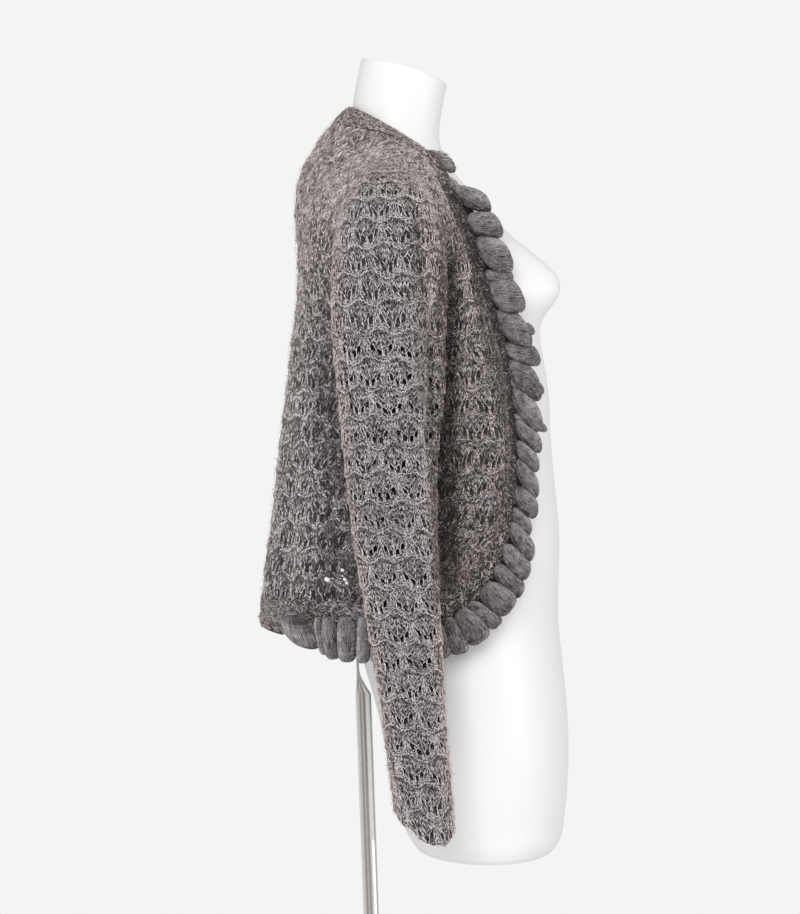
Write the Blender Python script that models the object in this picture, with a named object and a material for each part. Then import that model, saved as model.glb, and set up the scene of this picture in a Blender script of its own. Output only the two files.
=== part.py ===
"""Knit lace bolero with a gathered ruffle, worn by a plain dress form on a pole stand.

Metres, +Z up. The wearer faces -Y and the wearer's right side is -X. The origin is on the floor,
under the middle of the base plate. The garment is the same on both sides but for one ruffle wave.
"""

from collections import namedtuple
import math

import bpy
import numpy as np

# Seams and walls
SEAM_GAP = 0.0003
PANEL_GAP = 0.0007
KNIT_WALL = 0.003
RUFFLE_WALL = 0.002

# Body of the bolero
ARMHOLE_X = 0.170
ARMHOLE_Y = 0.023
ARMHOLE_Z = 1.377
ARMHOLE_HALF_DEPTH = 0.053
ARMHOLE_HALF_HEIGHT = 0.082
UNDERARM_Z = ARMHOLE_Z - ARMHOLE_HALF_HEIGHT
HEM_Z = 1.026
HEM_HALF_WIDTH = 0.177
HEM_HALF_DEPTH = 0.129
NECK_HALF_WIDTH = 0.068
NECK_POINT_Y = 0.011
NECK_POINT_Z = 1.502
NAPE_BACK = 0.055
NAPE_RISE = 0.034
SHOULDER_SHARE = 0.38626  # share of the half back taken by the neck, the rest is shoulder
BAND_WIDTH = 0.020
BACK_ARC_LOW = 89.0
BACK_ARC_UNDERARM = 80.0
BACK_ARC_TOP = 40.0
FRONT_ARC_LOW = 70.0
FRONT_ARC_TOP = 12.0

# Ruffle
RUFFLE_START_Z = 1.482
RUFFLE_WIDTH = 0.029
RUFFLE_TOP_WIDTH = 0.019
RUFFLE_FULL_Z = 1.42
FRONT_WAVES = 24
BACK_WAVES = 24
FRONT_WAVE_STEPS = 5
BACK_WAVE_STEPS = 4
FRONT_WAVE_HEIGHT = 0.0075
BACK_WAVE_HEIGHT = 0.0042
SEAM_WAVE_SHARE = 0.15
FRONT_FLARE = 0.30
BACK_FLARE = 0.05
BACK_TUCK = 62.0  # degrees the back ruffle turns under at the centre
LEFT_REACH = 0.014  # how much further one wave of the left ruffle stands out
LEFT_REACH_Z = 1.227
LEFT_REACH_SPAN = 0.014

# Lace openings cut through the walls
HOLE_HEIGHT = 0.010
HOLE_SHARE_BACK = 0.09
HOLE_SHARE_FRONT = 0.14
BACK_HOLE_COLUMNS = 8
BACK_HOLE_ROWS_LOW = 6
BACK_HOLE_ROWS_TOP = 4
FRONT_HOLE_COLUMNS = 3
FRONT_HOLE_ROWS = 6
FRONT_TOP_ROWS = 7
SLEEVE_HOLE_COLUMNS = 3
SLEEVE_HOLE_ROWS = 9
SLEEVE_HOLE_WIDTH = 0.0052
SLEEVE_CAP = 0.075  # length of the sleeve head that has no cut openings
SLEEVE_SPLIT_TRIM = 0.4  # degrees taken off each half at the split

# Stand
BASE_RADIUS = 0.185
BASE_THICK = 0.008
BASE_EDGE = 0.0015
POLE_LEAN = 0.0359
POLE_FOOT_Y = 0.0156
ROUND_SIDES = 44
POLE_SIDES = 20
FORM_SIDES = 32
BUST_REACH = 0.038
BUST_X = 0.064
BUST_Z = 1.356
BUST_SPREAD_X = 0.040
BUST_SPREAD_UP = 0.042
BUST_SPREAD_DOWN = 0.036

FormSection = namedtuple("FormSection", "height half_width front back roundness lean")
FORM_SECTIONS = [
    FormSection(0.798, 0.122, -0.140, -0.003, 2.0, 0.0),
    FormSection(0.806, 0.127, -0.146, 0.003, 2.0, 0.0),
    FormSection(0.830, 0.133, -0.151, 0.012, 2.0, 0.0),
    FormSection(0.863, 0.141, -0.154, 0.023, 2.0, 0.0),
    FormSection(0.903, 0.147, -0.155, 0.029, 2.0, 0.0),
    FormSection(0.943, 0.151, -0.153, 0.038, 2.0, 0.0),
    FormSection(0.983, 0.153, -0.149, 0.0495, 2.0, 0.0),
    FormSection(1.023, 0.152, -0.145, 0.05512, 2.0, 0.0),
    FormSection(1.063, 0.148, -0.145, 0.0540, 2.0, 0.0),
    FormSection(1.103, 0.141, -0.146, 0.048, 2.0, 0.0),
    FormSection(1.143, 0.132, -0.143, 0.043, 2.0, 0.0),
    FormSection(1.183, 0.123, -0.139, 0.041, 2.0, 0.0),
    FormSection(1.213, 0.118, -0.137, 0.042, 2.0, 0.0),
    FormSection(1.243, 0.116, -0.136, 0.047, 2.0, 0.0),
    FormSection(1.273, 0.118, -0.132, 0.057, 2.0, 0.0),
    FormSection(1.298, 0.123, -0.127, 0.069, 2.0, 0.0),
    FormSection(1.320, 0.128, -0.122, 0.078, 2.0, 0.0),
    FormSection(1.340, 0.132, -0.120, 0.087, 2.0, 0.0),
    FormSection(1.363, 0.135, -0.114, 0.095, 2.0, 0.0),
    FormSection(1.385, 0.138, -0.105, 0.100, 1.90, 0.0),
    FormSection(1.405, 0.142, -0.094, 0.104, 1.80, 0.0),
    FormSection(1.425, 0.149, -0.079, 0.106, 1.70, 0.0),
    FormSection(1.443, 0.148, -0.063, 0.103, 1.55, 0.0),
    FormSection(1.456, 0.136, -0.053, 0.097, 1.55, 0.0),
    FormSection(1.467, 0.114, -0.044, 0.090, 1.60, 0.0),
    FormSection(1.479, 0.088, -0.036, 0.082, 1.70, 0.0),
    FormSection(1.492, 0.066, -0.029, 0.075, 1.85, 0.0),
    FormSection(1.508, 0.057, -0.026, 0.070, 2.0, 0.0),
    FormSection(1.528, 0.053, -0.028, 0.062, 2.0, 0.03),
    FormSection(1.551, 0.0515, -0.031, 0.057, 2.0, 0.14),
    FormSection(1.5695, 0.0510, -0.034, 0.052, 2.0, 0.29),
]

BackSection = namedtuple("BackSection", "height depth")
BACK_PROFILE = [
    BackSection(1.026, 0.152),
    BackSection(1.062, 0.150),
    BackSection(1.127, 0.1415),
    BackSection(1.180, 0.136),
    BackSection(1.243, 0.1283),
    BackSection(1.308, 0.121),
    BackSection(1.341, 0.1165),
    BackSection(1.384, 0.1155),
    BackSection(1.435, 0.118),
    BackSection(1.470, 0.1125),
    BackSection(1.4935, 0.100),
    BackSection(1.5125, 0.087),
    BackSection(1.536, 0.066),
]

SideSection = namedtuple("SideSection", "height half_width")
SIDE_PROFILE = [
    SideSection(1.026, 0.177),
    SideSection(1.120, 0.169),
    SideSection(1.200, 0.1665),
    SideSection(1.260, 0.168),
    SideSection(1.295, 0.16985),
]

EdgePoint = namedtuple("EdgePoint", "x y z")
FRONT_EDGE = [
    EdgePoint(0.068, 0.011, 1.502),
    EdgePoint(0.083, -0.021, 1.477),
    EdgePoint(0.102, -0.042, 1.440),
    EdgePoint(0.115, -0.055, 1.410),
    EdgePoint(0.126, -0.065, 1.381),
    EdgePoint(0.127, -0.075, 1.347),
    EdgePoint(0.124, -0.083, 1.317),
    EdgePoint(0.121, -0.091, 1.286),
    EdgePoint(0.119, -0.097, 1.240),
    EdgePoint(0.120, -0.100, 1.195),
    EdgePoint(0.125, -0.099, 1.160),
    EdgePoint(0.134, -0.095, 1.126),
    EdgePoint(0.145, -0.088, 1.100),
    EdgePoint(0.154, -0.079, 1.079),
    EdgePoint(0.161, -0.068, 1.061),
    EdgePoint(0.167, -0.054, 1.045),
    EdgePoint(0.172, -0.036, 1.032),
    EdgePoint(0.175, -0.016, 1.0265),
]

SleeveSection = namedtuple(
    "SleeveSection", "along inner_x inner_z turn half_thick half_depth centre_y lean"
)
SLEEVE_SECTIONS = [
    SleeveSection(0.000, 0.17015, 1.2950, 90.0, 0.0820, 0.0530, 0.0230, 0.0),
    SleeveSection(0.035, 0.1720, 1.2900, 62.0, 0.0730, 0.0535, 0.0230, 0.0),
    SleeveSection(0.075, 0.1755, 1.2830, 38.0, 0.0560, 0.0535, 0.0230, 0.0),
    SleeveSection(0.115, 0.1795, 1.2680, 18.0, 0.0430, 0.0525, 0.0222, 0.0),
    SleeveSection(0.155, 0.1830, 1.2380, 6.0, 0.0385, 0.0498, 0.0208, 0.0),
    SleeveSection(0.201, 0.1855, 1.1924, 2.0, 0.0355, 0.0448, 0.0212, 0.0),
    SleeveSection(0.247, 0.1870, 1.1467, 0.0, 0.0335, 0.0407, 0.0203, 0.0),
    SleeveSection(0.293, 0.1895, 1.1010, 0.0, 0.0315, 0.0386, 0.0164, 0.0),
    SleeveSection(0.338, 0.1915, 1.0553, 0.0, 0.0300, 0.0357, 0.0117, 0.0),
    SleeveSection(0.384, 0.1930, 1.0096, 0.0, 0.0285, 0.0334, 0.0066, 0.0),
    SleeveSection(0.430, 0.1935, 0.9639, 0.0, 0.0270, 0.0306, 0.0016, 0.03),
    SleeveSection(0.476, 0.1935, 0.9182, 0.0, 0.0255, 0.0292, -0.0025, 0.12),
    SleeveSection(0.543, 0.1935, 0.8510, 0.0, 0.0240, 0.0272, -0.0078, 0.55),
]

PoleSection = namedtuple("PoleSection", "height half_x half_y back_shift")
POLE_SECTIONS = [
    PoleSection(0.0083, 0.0078, 0.0078, 0.0),
    PoleSection(0.450, 0.0078, 0.0078, 0.0),
    PoleSection(0.949, 0.0078, 0.0078, 0.0),
    PoleSection(0.957, 0.0084, 0.0050, 0.0020),
    PoleSection(0.966, 0.0100, 0.0022, 0.0040),
    PoleSection(0.972, 0.0104, 0.0014, 0.0046),
    PoleSection(1.060, 0.0104, 0.0014, 0.0046),
]

Fold = namedtuple("Fold", "at width depth low high")
# Sleeve troughs: at and width in degrees round the sleeve from its outer line, front negative;
# depth as a share of the radius; low and high in metres along the sleeve.
SLEEVE_FOLDS = [
    Fold(-62.0, 20.0, 0.15, 0.05, 0.26),
    Fold(38.0, 24.0, 0.07, 0.16, 0.40),
    Fold(-25.0, 22.0, 0.07, 0.30, 0.50),
    Fold(150.0, 26.0, 0.10, 0.12, 0.45),
]
# Back troughs: at and width as shares of the half back; depth in metres at the hem.
BACK_FOLDS = [
    Fold(0.34, 0.16, 0.010, 1.048, 1.300),
    Fold(-0.36, 0.15, 0.009, 1.048, 1.270),
    Fold(0.74, 0.12, 0.006, 1.048, 1.220),
    Fold(-0.72, 0.12, 0.007, 1.048, 1.240),
]


def smooth(keys, values, at):
    """Values at the given keys, on a curve with no corners through the table's rows."""
    keys = np.asarray(keys, float)
    values = np.asarray(values, float)
    slopes = np.gradient(values, keys)
    at = np.clip(np.asarray(at, float), keys[0], keys[-1])
    cell = np.clip(np.searchsorted(keys, at) - 1, 0, len(keys) - 2)
    span = keys[cell + 1] - keys[cell]
    t = (at - keys[cell]) / span
    start = (2 * t**3 - 3 * t**2 + 1) * values[cell]
    start_slope = (t**3 - 2 * t**2 + t) * span * slopes[cell]
    end = (3 * t**2 - 2 * t**3) * values[cell + 1]
    end_slope = (t**3 - t**2) * span * slopes[cell + 1]
    return start + start_slope + end + end_slope


def column(table, field):
    """One named column of a table."""
    return np.array([getattr(row, field) for row in table])


def along(table, key, field, at):
    """A table's named column, read smoothly at values of its key column."""
    return smooth(column(table, key), column(table, field), at)


def ease(value, low, high):
    """0 below low, 1 above high and a soft step between."""
    t = np.clip((np.asarray(value, float) - low) / (high - low), 0.0, 1.0)
    return t * t * (3.0 - 2.0 * t)


def unit(vectors):
    """The same directions with a length of one."""
    return vectors / np.linalg.norm(vectors, axis=-1, keepdims=True)


def cloth_out(points):
    """Outward direction of the bolero's body at these points, the same on both sides of a seam."""
    x, y, z = points[..., 0], points[..., 1], points[..., 2]
    depth = 0.0169 + (0.006 - 0.0169) * ease(z, 1.40, 1.49)
    rise = 8.0 * ease(z, 1.32, 1.52)
    return unit(np.stack([x / 0.0289, (y - 0.016) / depth, rise], axis=-1))


def split_face(points, face):
    """A four-sided face as two triangles, cut along its shorter diagonal."""
    if len(face) != 4:
        return [tuple(face)]
    a, b, c, d = face
    if np.linalg.norm(points[a] - points[c]) <= np.linalg.norm(points[b] - points[d]):
        return [(a, b, c), (a, c, d)]
    return [(a, b, d), (b, c, d)]


def add_object(name, points, faces, material):
    """A mesh object of these corners and faces, all turned to point out."""
    points = np.asarray(points, float)
    faces = [part for face in faces for part in split_face(points, face)]
    volume = 0.0
    for face in faces:
        for second, third in zip(face[1:-1], face[2:]):
            volume += np.dot(points[face[0]], np.cross(points[second], points[third]))
    if volume < 0:
        faces = [tuple(reversed(face)) for face in faces]
    mesh = bpy.data.meshes.new(name)
    mesh.from_pydata([tuple(p) for p in points], [], [tuple(f) for f in faces])
    mesh.materials.append(material)
    mesh.update()
    made = bpy.data.objects.new(name, mesh)
    bpy.context.scene.collection.objects.link(made)
    return made


def loft(name, rings, material):
    """A solid through closed rings of equally many points, with flat ends."""
    rings = np.asarray(rings, float)
    count, sides = rings.shape[0], rings.shape[1]
    faces = []
    for i in range(count - 1):
        for j in range(sides):
            k = (j + 1) % sides
            faces.append((i * sides + j, i * sides + k, (i + 1) * sides + k, (i + 1) * sides + j))
    faces.append(tuple(reversed(range(sides))))
    faces.append(tuple(range((count - 1) * sides, count * sides)))
    return add_object(name, rings.reshape(-1, 3), faces, material)


def wall(name, outer, inner, material, holes=frozenset()):
    """A cloth wall between two grids of points, with the listed cells left open."""
    rows, columns = outer.shape[0], outer.shape[1]
    lower = rows * columns
    faces = []

    def there(i, j):
        return 0 <= i < rows - 1 and 0 <= j < columns - 1 and (i, j) not in holes

    def at(i, j):
        return i * columns + j

    for i in range(rows - 1):
        for j in range(columns - 1):
            if not there(i, j):
                continue
            corners = [at(i, j), at(i, j + 1), at(i + 1, j + 1), at(i + 1, j)]
            faces.append(tuple(corners))
            faces.append(tuple(lower + c for c in reversed(corners)))
            beside = [there(i - 1, j), there(i, j + 1), there(i + 1, j), there(i, j - 1)]
            for side, neighbour in enumerate(beside):
                if not neighbour:
                    first, second = corners[side], corners[(side + 1) % 4]
                    faces.append((second, first, lower + first, lower + second))
    points = np.concatenate([outer.reshape(-1, 3), inner.reshape(-1, 3)])
    return add_object(name, points, faces, material)


def form_rings():
    """Rings of the dress form, with a soft bust and a slanted neck."""
    rings = []
    for section in FORM_SECTIONS:
        middle = (section.front + section.back) / 2
        half_depth = (section.back - section.front) / 2
        ring = []
        for j in range(FORM_SIDES):
            angle = 2 * math.pi * j / FORM_SIDES
            across, deep = math.cos(angle), math.sin(angle)
            power = 2 / section.roundness
            x = section.half_width * math.copysign(abs(across) ** power, across)
            y = half_depth * math.copysign(abs(deep) ** power, deep)
            spread = BUST_SPREAD_UP if section.height > BUST_Z else BUST_SPREAD_DOWN
            bust = math.exp(-(((abs(x) - BUST_X) / BUST_SPREAD_X) ** 2))
            bust *= math.exp(-(((section.height - BUST_Z) / spread) ** 2))
            z = section.height + section.lean * y
            if y < 0:
                y -= BUST_REACH * bust * min(1.0, -y / 0.05)
            ring.append((x, middle + y, z))
        rings.append(ring)
    return rings


def round_ring(centre_y, z, half_x, half_y, sides):
    """A level ring, round or flattened."""
    turns = [2 * math.pi * j / sides for j in range(sides)]
    return [(half_x * math.cos(a), centre_y + half_y * math.sin(a), z) for a in turns]


def edge_line(count=600):
    """Outer edge of the left half, from the nape over the front and the hem to the middle back."""
    control = []
    for degrees in (90, 70, 50, 30, 14):
        a = math.radians(degrees)
        deep = math.sin(a)
        y, z = NECK_POINT_Y + NAPE_BACK * deep, NECK_POINT_Z + NAPE_RISE * deep
        control.append((NECK_HALF_WIDTH * math.cos(a), y, z))
    control.extend(tuple(p) for p in FRONT_EDGE)
    for degrees in (0, 12, 25, 40, 55, 70, 80, 90):
        a = math.radians(degrees)
        x, y = HEM_HALF_WIDTH * math.cos(a), ARMHOLE_Y + HEM_HALF_DEPTH * math.sin(a)
        control.append((x, y, HEM_Z))
    control = np.array(control)
    steps = np.linalg.norm(np.diff(control, axis=0), axis=1)
    keys = np.concatenate([[0.0], np.cumsum(steps)])
    at = np.linspace(0.0, keys[-1], count)
    return np.stack([smooth(keys, control[:, i], at) for i in range(3)], axis=-1)


def edge_frame():
    """The left edge with its run, outward and edgeward directions at each point."""
    points = edge_line()
    steps = np.linalg.norm(np.diff(points, axis=0), axis=1)
    run = np.concatenate([[0.0], np.cumsum(steps)])
    forward = unit(np.gradient(points, run, axis=0))
    out = cloth_out(points)
    away = unit(np.cross(forward, out))
    return run, points, out, away


EDGE_RUN, EDGE_POINTS, EDGE_OUT, EDGE_AWAY = edge_frame()
NECK_END = EDGE_RUN[int(np.argmin(np.linalg.norm(EDGE_POINTS - np.array(FRONT_EDGE[0]), axis=1)))]
SIDE_MARK = np.array([HEM_HALF_WIDTH, ARMHOLE_Y, HEM_Z])
SIDE_END = EDGE_RUN[int(np.argmin(np.linalg.norm(EDGE_POINTS - SIDE_MARK, axis=1)))]
BACK_END = EDGE_RUN[-1]
BEFORE_SIDE = EDGE_RUN < SIDE_END - 0.06
RUFFLE_START = EDGE_RUN[int(np.argmin(np.where(BEFORE_SIDE & (EDGE_RUN > NECK_END),
                                               abs(EDGE_POINTS[:, 2] - RUFFLE_START_Z), 1.0)))]


def edge_at(run):
    """Points, outward and edgeward directions of the edge at runs along it; a run past the middle
    of the back, or a negative one at the nape, goes on along the right half."""
    run = np.asarray(run, float)
    right = (run > BACK_END) | (run < 0)
    folded = np.where(run > BACK_END, 2 * BACK_END - run, np.abs(run))
    found = []
    for values in (EDGE_POINTS, EDGE_OUT, EDGE_AWAY):
        read = np.stack([np.interp(folded, EDGE_RUN, values[:, i]) for i in range(3)], axis=-1)
        read[..., 0] = np.where(right, -read[..., 0], read[..., 0])
        found.append(read)
    return found[0], unit(found[1]), unit(found[2])


def mirrored(grid):
    """The same grid on the wearer's other side."""
    return grid * np.array([-1.0, 1.0, 1.0])


def band_grid(runs, panel_runs):
    """Outer grid of a band along the edge, from the edge to the panel; panel_runs are the places
    of the panel's corners, and the band's inner side is straight between them."""
    points, _, away = edge_at(runs)
    corners = panel_edge(panel_runs)
    inside = [np.interp(runs, panel_runs, corners[:, i]) for i in range(3)]
    return np.stack([points, np.stack(inside, axis=-1) + PANEL_GAP * away])


def panel_edge(run):
    """Where a panel ends against the band at this run."""
    points, _, away = edge_at(run)
    return points - (BAND_WIDTH + PANEL_GAP) * away


def ruffle_grids(runs, waves, steps, height, tuck, flare, left_reach):
    """Outer and inner grids of a ruffle whose first row lies on the band's outer edge."""
    fine = np.linspace(0.0, len(runs) - 1.0, waves * steps + 1)
    coarse = np.arange(len(runs))
    read = []
    for values in edge_at(runs):
        read.append(np.stack([np.interp(fine, coarse, values[:, i]) for i in range(3)], axis=-1))
    base, out, away = read[0], unit(read[1]), unit(read[2])
    phase = math.pi + 2 * math.pi * np.arange(len(fine)) / steps
    narrow = ease(base[:, 2], RUFFLE_FULL_Z, RUFFLE_START_Z)
    full = RUFFLE_WIDTH + (RUFFLE_TOP_WIDTH - RUFFLE_WIDTH) * narrow
    turn = np.radians(np.interp(fine, coarse, tuck(runs)))[:, None]
    reach_out = away * np.cos(turn) - out * np.sin(turn)
    lift = out * np.cos(turn) + away * np.sin(turn)
    extra = left_reach * np.exp(-(((base[:, 2] - LEFT_REACH_Z) / LEFT_REACH_SPAN) ** 2))
    middle = []
    seam = base - KNIT_WALL / 2 * out + SEAM_GAP * away
    for share in (0.0, 0.5, 1.0):
        width = share * (full + extra)
        swing = height * (SEAM_WAVE_SHARE + (1 - SEAM_WAVE_SHARE) * share**0.7)
        lifted = swing * np.cos(phase) + flare * share * full
        raised = lifted[:, None] * (lift if share else out)
        middle.append(seam + width[:, None] * reach_out + raised)
    middle = np.stack(middle)
    across = np.gradient(middle, axis=0)
    forward = np.gradient(middle, axis=1)
    normal = unit(np.cross(forward, across))
    normal *= np.sign(np.sum(normal * lift[None], axis=-1, keepdims=True))
    normal[0] = out
    return middle + RUFFLE_WALL / 2 * normal, middle - RUFFLE_WALL / 2 * normal


def armhole(share, face):
    """Armhole points of the left side from underarm (0) to shoulder (1); face is 1 back, -1 front."""
    turn = math.pi * np.asarray(share, float)
    y = ARMHOLE_Y + face * ARMHOLE_HALF_DEPTH * np.sin(turn)
    z = ARMHOLE_Z - ARMHOLE_HALF_HEIGHT * np.cos(turn)
    return np.stack([np.full_like(turn, ARMHOLE_X - SEAM_GAP / 2), y, z], axis=-1)


NAPE_RUN = 0.0
PANEL_NAPE = panel_edge(np.array([NAPE_RUN]))[0]
PANEL_NECK_POINT = panel_edge(np.array([NECK_END]))[0]
SHOULDER_POINT = armhole(np.array([1.0]), 1)[0]
PANEL_HEM_Z = HEM_Z + BAND_WIDTH + PANEL_GAP


def back_top(u):
    """Top line of the back: shoulder seams and the neck band's inner edge."""
    share = np.abs(u)
    neck = panel_edge(NECK_END * np.clip(share / SHOULDER_SHARE, 0.0, 1.0))
    slope = np.clip((share - SHOULDER_SHARE) / (1 - SHOULDER_SHARE), 0.0, 1.0)[:, None]
    seam = PANEL_NECK_POINT + slope * (SHOULDER_POINT - PANEL_NECK_POINT)
    line = np.where((share <= SHOULDER_SHARE)[:, None], neck, seam)
    line[:, 0] *= np.where(u < 0, -1.0, 1.0)
    line[:, 1] += SEAM_GAP / 2
    return line


def back_arc(level, u):
    """One row of the back as a plain arc; level 0 to 1 is hem to underarm, 1 to 2 the armhole."""
    if level <= 1.0:
        z = PANEL_HEM_Z + (UNDERARM_Z - PANEL_HEM_Z) * level
        half = float(along(SIDE_PROFILE, "height", "half_width", z))
        edge = np.array([half, ARMHOLE_Y, z])
        middle_z = z
        arc = BACK_ARC_LOW + (BACK_ARC_UNDERARM - BACK_ARC_LOW) * level
    else:
        share = level - 1.0
        edge = armhole(np.array([share]), 1)[0]
        middle_z = UNDERARM_Z + (PANEL_NAPE[2] - UNDERARM_Z) * share
        arc = BACK_ARC_UNDERARM + (BACK_ARC_TOP - BACK_ARC_UNDERARM) * share
    middle_y = float(along(BACK_PROFILE, "height", "depth", middle_z))
    reach = math.radians(arc)
    bend = (np.cos(u * reach) - math.cos(reach)) / (1 - math.cos(reach))
    x = edge[0] * np.sin(u * reach) / math.sin(reach)
    y = edge[1] + (middle_y - edge[1]) * bend
    z = edge[2] + (middle_z - edge[2]) * bend
    return np.stack([x, y, z], axis=-1)


def back_grid(levels, u):
    """Outer grid of the back panel, with its folds."""
    top_change = back_top(u) - back_arc(2.0, u)
    rows = []
    for level in levels:
        row = back_arc(level, u)
        if level > 1.0:
            row = row + (level - 1.0) ** 4 * top_change
        if level <= 1.0:
            row[:, 1] += np.where(np.abs(u) > 0.999, SEAM_GAP / 2, 0.0)
        push = np.zeros(len(u))
        for fold in BACK_FOLDS:
            fade = 1.0 - ease(row[:, 2], fold.low, fold.high)
            push -= fold.depth * fade * np.exp(-(((u - fold.at) / fold.width) ** 2))
        push *= 1.0 - ease(np.abs(u), 0.86, 1.0)
        rows.append(row + push[:, None] * cloth_out(row))
    return np.stack(rows)


def front_line():
    """Height and run of the left front's edge against the band, from the corner up to the neck."""
    runs = np.linspace(NECK_END, SIDE_END, 400)
    line = panel_edge(runs)
    lowest = int(np.argmax(line[:, 2] < PANEL_HEM_Z + 0.0004)) or len(runs) - 1
    return line[: lowest + 1][::-1], runs[: lowest + 1][::-1]


FRONT_LINE, FRONT_LINE_RUN = front_line()


FRONT_HEIGHTS = np.maximum.accumulate(FRONT_LINE[:, 2] + 1e-7 * np.arange(len(FRONT_LINE)))


def front_edge_height(level):
    """Height at which this row of a front meets the band."""
    if level <= 1.0:
        return PANEL_HEM_Z + (UNDERARM_Z - PANEL_HEM_Z) * level
    return UNDERARM_Z + (FRONT_HEIGHTS[-1] - UNDERARM_Z) * (level - 1.0)


def front_edge_run(level):
    """Run along the edge at which this row of a front meets the band."""
    return float(np.interp(front_edge_height(level), FRONT_HEIGHTS, FRONT_LINE_RUN))


def front_grid(levels, a):
    """Outer grid of the left front panel, side seam and armhole (a 0) to the band (a 1)."""
    rows = []
    for level in levels:
        if level <= 1.0:
            z = PANEL_HEM_Z + (UNDERARM_Z - PANEL_HEM_Z) * level
            half = float(along(SIDE_PROFILE, "height", "half_width", z))
            start = np.array([half, ARMHOLE_Y - SEAM_GAP / 2, z])
            arc = FRONT_ARC_LOW
        else:
            share = level - 1.0
            start = armhole(np.array([share]), -1)[0]
            start[1] -= SEAM_GAP / 2
            arc = FRONT_ARC_LOW + (FRONT_ARC_TOP - FRONT_ARC_LOW) * share
        end = panel_edge(np.array([front_edge_run(level)]))[0]
        if level >= 2.0:
            end[1] -= SEAM_GAP
        reach = math.radians(arc)
        x = start[0] + (end[0] - start[0]) * (1 - np.cos(a * reach)) / (1 - math.cos(reach))
        y = start[1] + (end[1] - start[1]) * np.sin(a * reach) / math.sin(reach)
        z = start[2] + (end[2] - start[2]) * a
        rows.append(np.stack([x, y, z], axis=-1))
    return np.stack(rows)


def sleeve_angles(start, radius):
    """Angles of the grid lines of one half sleeve, with an opening in the middle of each repeat."""
    repeat = 180.0 / SLEEVE_HOLE_COLUMNS
    half_hole = math.degrees(SLEEVE_HOLE_WIDTH / 2 / radius)
    lines = [-90.0 + SLEEVE_SPLIT_TRIM]
    for j in range(SLEEVE_HOLE_COLUMNS):
        middle = -90.0 + (j + 0.5) * repeat
        lines += [middle - half_hole, middle + half_hole, middle + repeat / 2]
    lines[-1] -= SLEEVE_SPLIT_TRIM
    return np.array(lines) + start


def sleeve_grid(runs, start, shrink):
    """Grid of half the left sleeve, each ring made smaller by shrink; start is 0 for the outer
    half and 180 for the inner one."""
    rows = []
    for run in runs:
        read = {f: float(along(SLEEVE_SECTIONS, "along", f, run)) for f in SleeveSection._fields[1:]}
        degrees = sleeve_angles(start, (read["half_thick"] + read["half_depth"]) / 2)
        angle = np.radians(degrees)
        turn = math.radians(read["turn"])
        up_out = np.array([math.cos(turn), 0.0, math.sin(turn)])
        centre = np.array([read["inner_x"], read["centre_y"], read["inner_z"]])
        centre = centre + read["half_thick"] * up_out
        fold = np.zeros(len(angle))
        for trough in SLEEVE_FOLDS:
            fade = ease(run, trough.low, trough.low + 0.08)
            fade *= 1.0 - ease(run, trough.high - 0.10, trough.high)
            fold += trough.depth * fade * np.exp(-(((degrees - trough.at) / trough.width) ** 2))
        thick = (read["half_thick"] - shrink) * np.cos(angle) * (1 - fold)
        deep = (read["half_depth"] - shrink) * np.sin(angle) * (1 - fold)
        row = centre + thick[:, None] * up_out + deep[:, None] * np.array([0.0, 1.0, 0.0])
        row[:, 2] += read["lean"] * deep
        rows.append(row)
    return np.stack(rows)


def hole_lines(low, high, rows, hole):
    """Grid lines from low to high with an opening of the given size in the middle of each row."""
    pitch = (high - low) / rows
    lines = [low]
    for i in range(rows):
        middle = low + (i + 0.5) * pitch
        lines.extend([middle - hole / 2, middle + hole / 2])
    lines.append(high)
    return lines


def cut_cells(row_cells, column_cells):
    """The grid cells that are left open."""
    return frozenset((i, j) for i in row_cells for j in column_cells)


def finish(name, colour, roughness, metallic):
    """A plain material."""
    made = bpy.data.materials.new(name)
    made.use_nodes = True
    shader = made.node_tree.nodes["Principled BSDF"]
    shader.inputs["Base Color"].default_value = (*colour, 1.0)
    shader.inputs["Roughness"].default_value = roughness
    shader.inputs["Metallic"].default_value = metallic
    return made


def build_stand():
    """Base plate, leaning pole and dress form."""
    steel = finish("base_plate", (0.62, 0.63, 0.64), 0.35, 1.0)
    chrome = finish("pole", (0.80, 0.80, 0.82), 0.12, 1.0)
    shell = finish("dress_form", (0.86, 0.85, 0.84), 0.45, 0.0)
    plate = []
    for z, inset in ((0.0, BASE_EDGE), (BASE_EDGE, 0.0), (BASE_THICK - BASE_EDGE, 0.0),
                     (BASE_THICK, BASE_EDGE)):
        radius = BASE_RADIUS - inset
        plate.append(round_ring(0.0, z, radius, radius, ROUND_SIDES))
    loft("base_plate", plate, steel)
    tube = []
    for section in POLE_SECTIONS:
        y = POLE_FOOT_Y + POLE_LEAN * section.height + section.back_shift
        tube.append(round_ring(y, section.height, section.half_x, section.half_y, POLE_SIDES))
    loft("pole", tube, chrome)
    loft("dress_form", form_rings(), shell)


def back_columns():
    """Grid lines across the back, with the openings' sides and a few more at the neck."""
    u_hole = HOLE_SHARE_BACK * 2.0 / BACK_HOLE_COLUMNS
    lines = hole_lines(-1.0, 1.0, BACK_HOLE_COLUMNS, u_hole)
    holes = [lines[2 * j + 1] for j in range(BACK_HOLE_COLUMNS)]
    lines = sorted(lines + [-0.25, 0.0, 0.25])
    return np.array(lines), [lines.index(u) for u in holes]


def front_levels():
    """Grid lines up a front, with the openings' lower and upper sides."""
    low_hole = HOLE_HEIGHT / (UNDERARM_Z - PANEL_HEM_Z)
    lines = hole_lines(0.0, 1.0, FRONT_HOLE_ROWS, low_hole)
    return lines + [1.0 + (i + 1) / FRONT_TOP_ROWS for i in range(FRONT_TOP_ROWS)]


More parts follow.
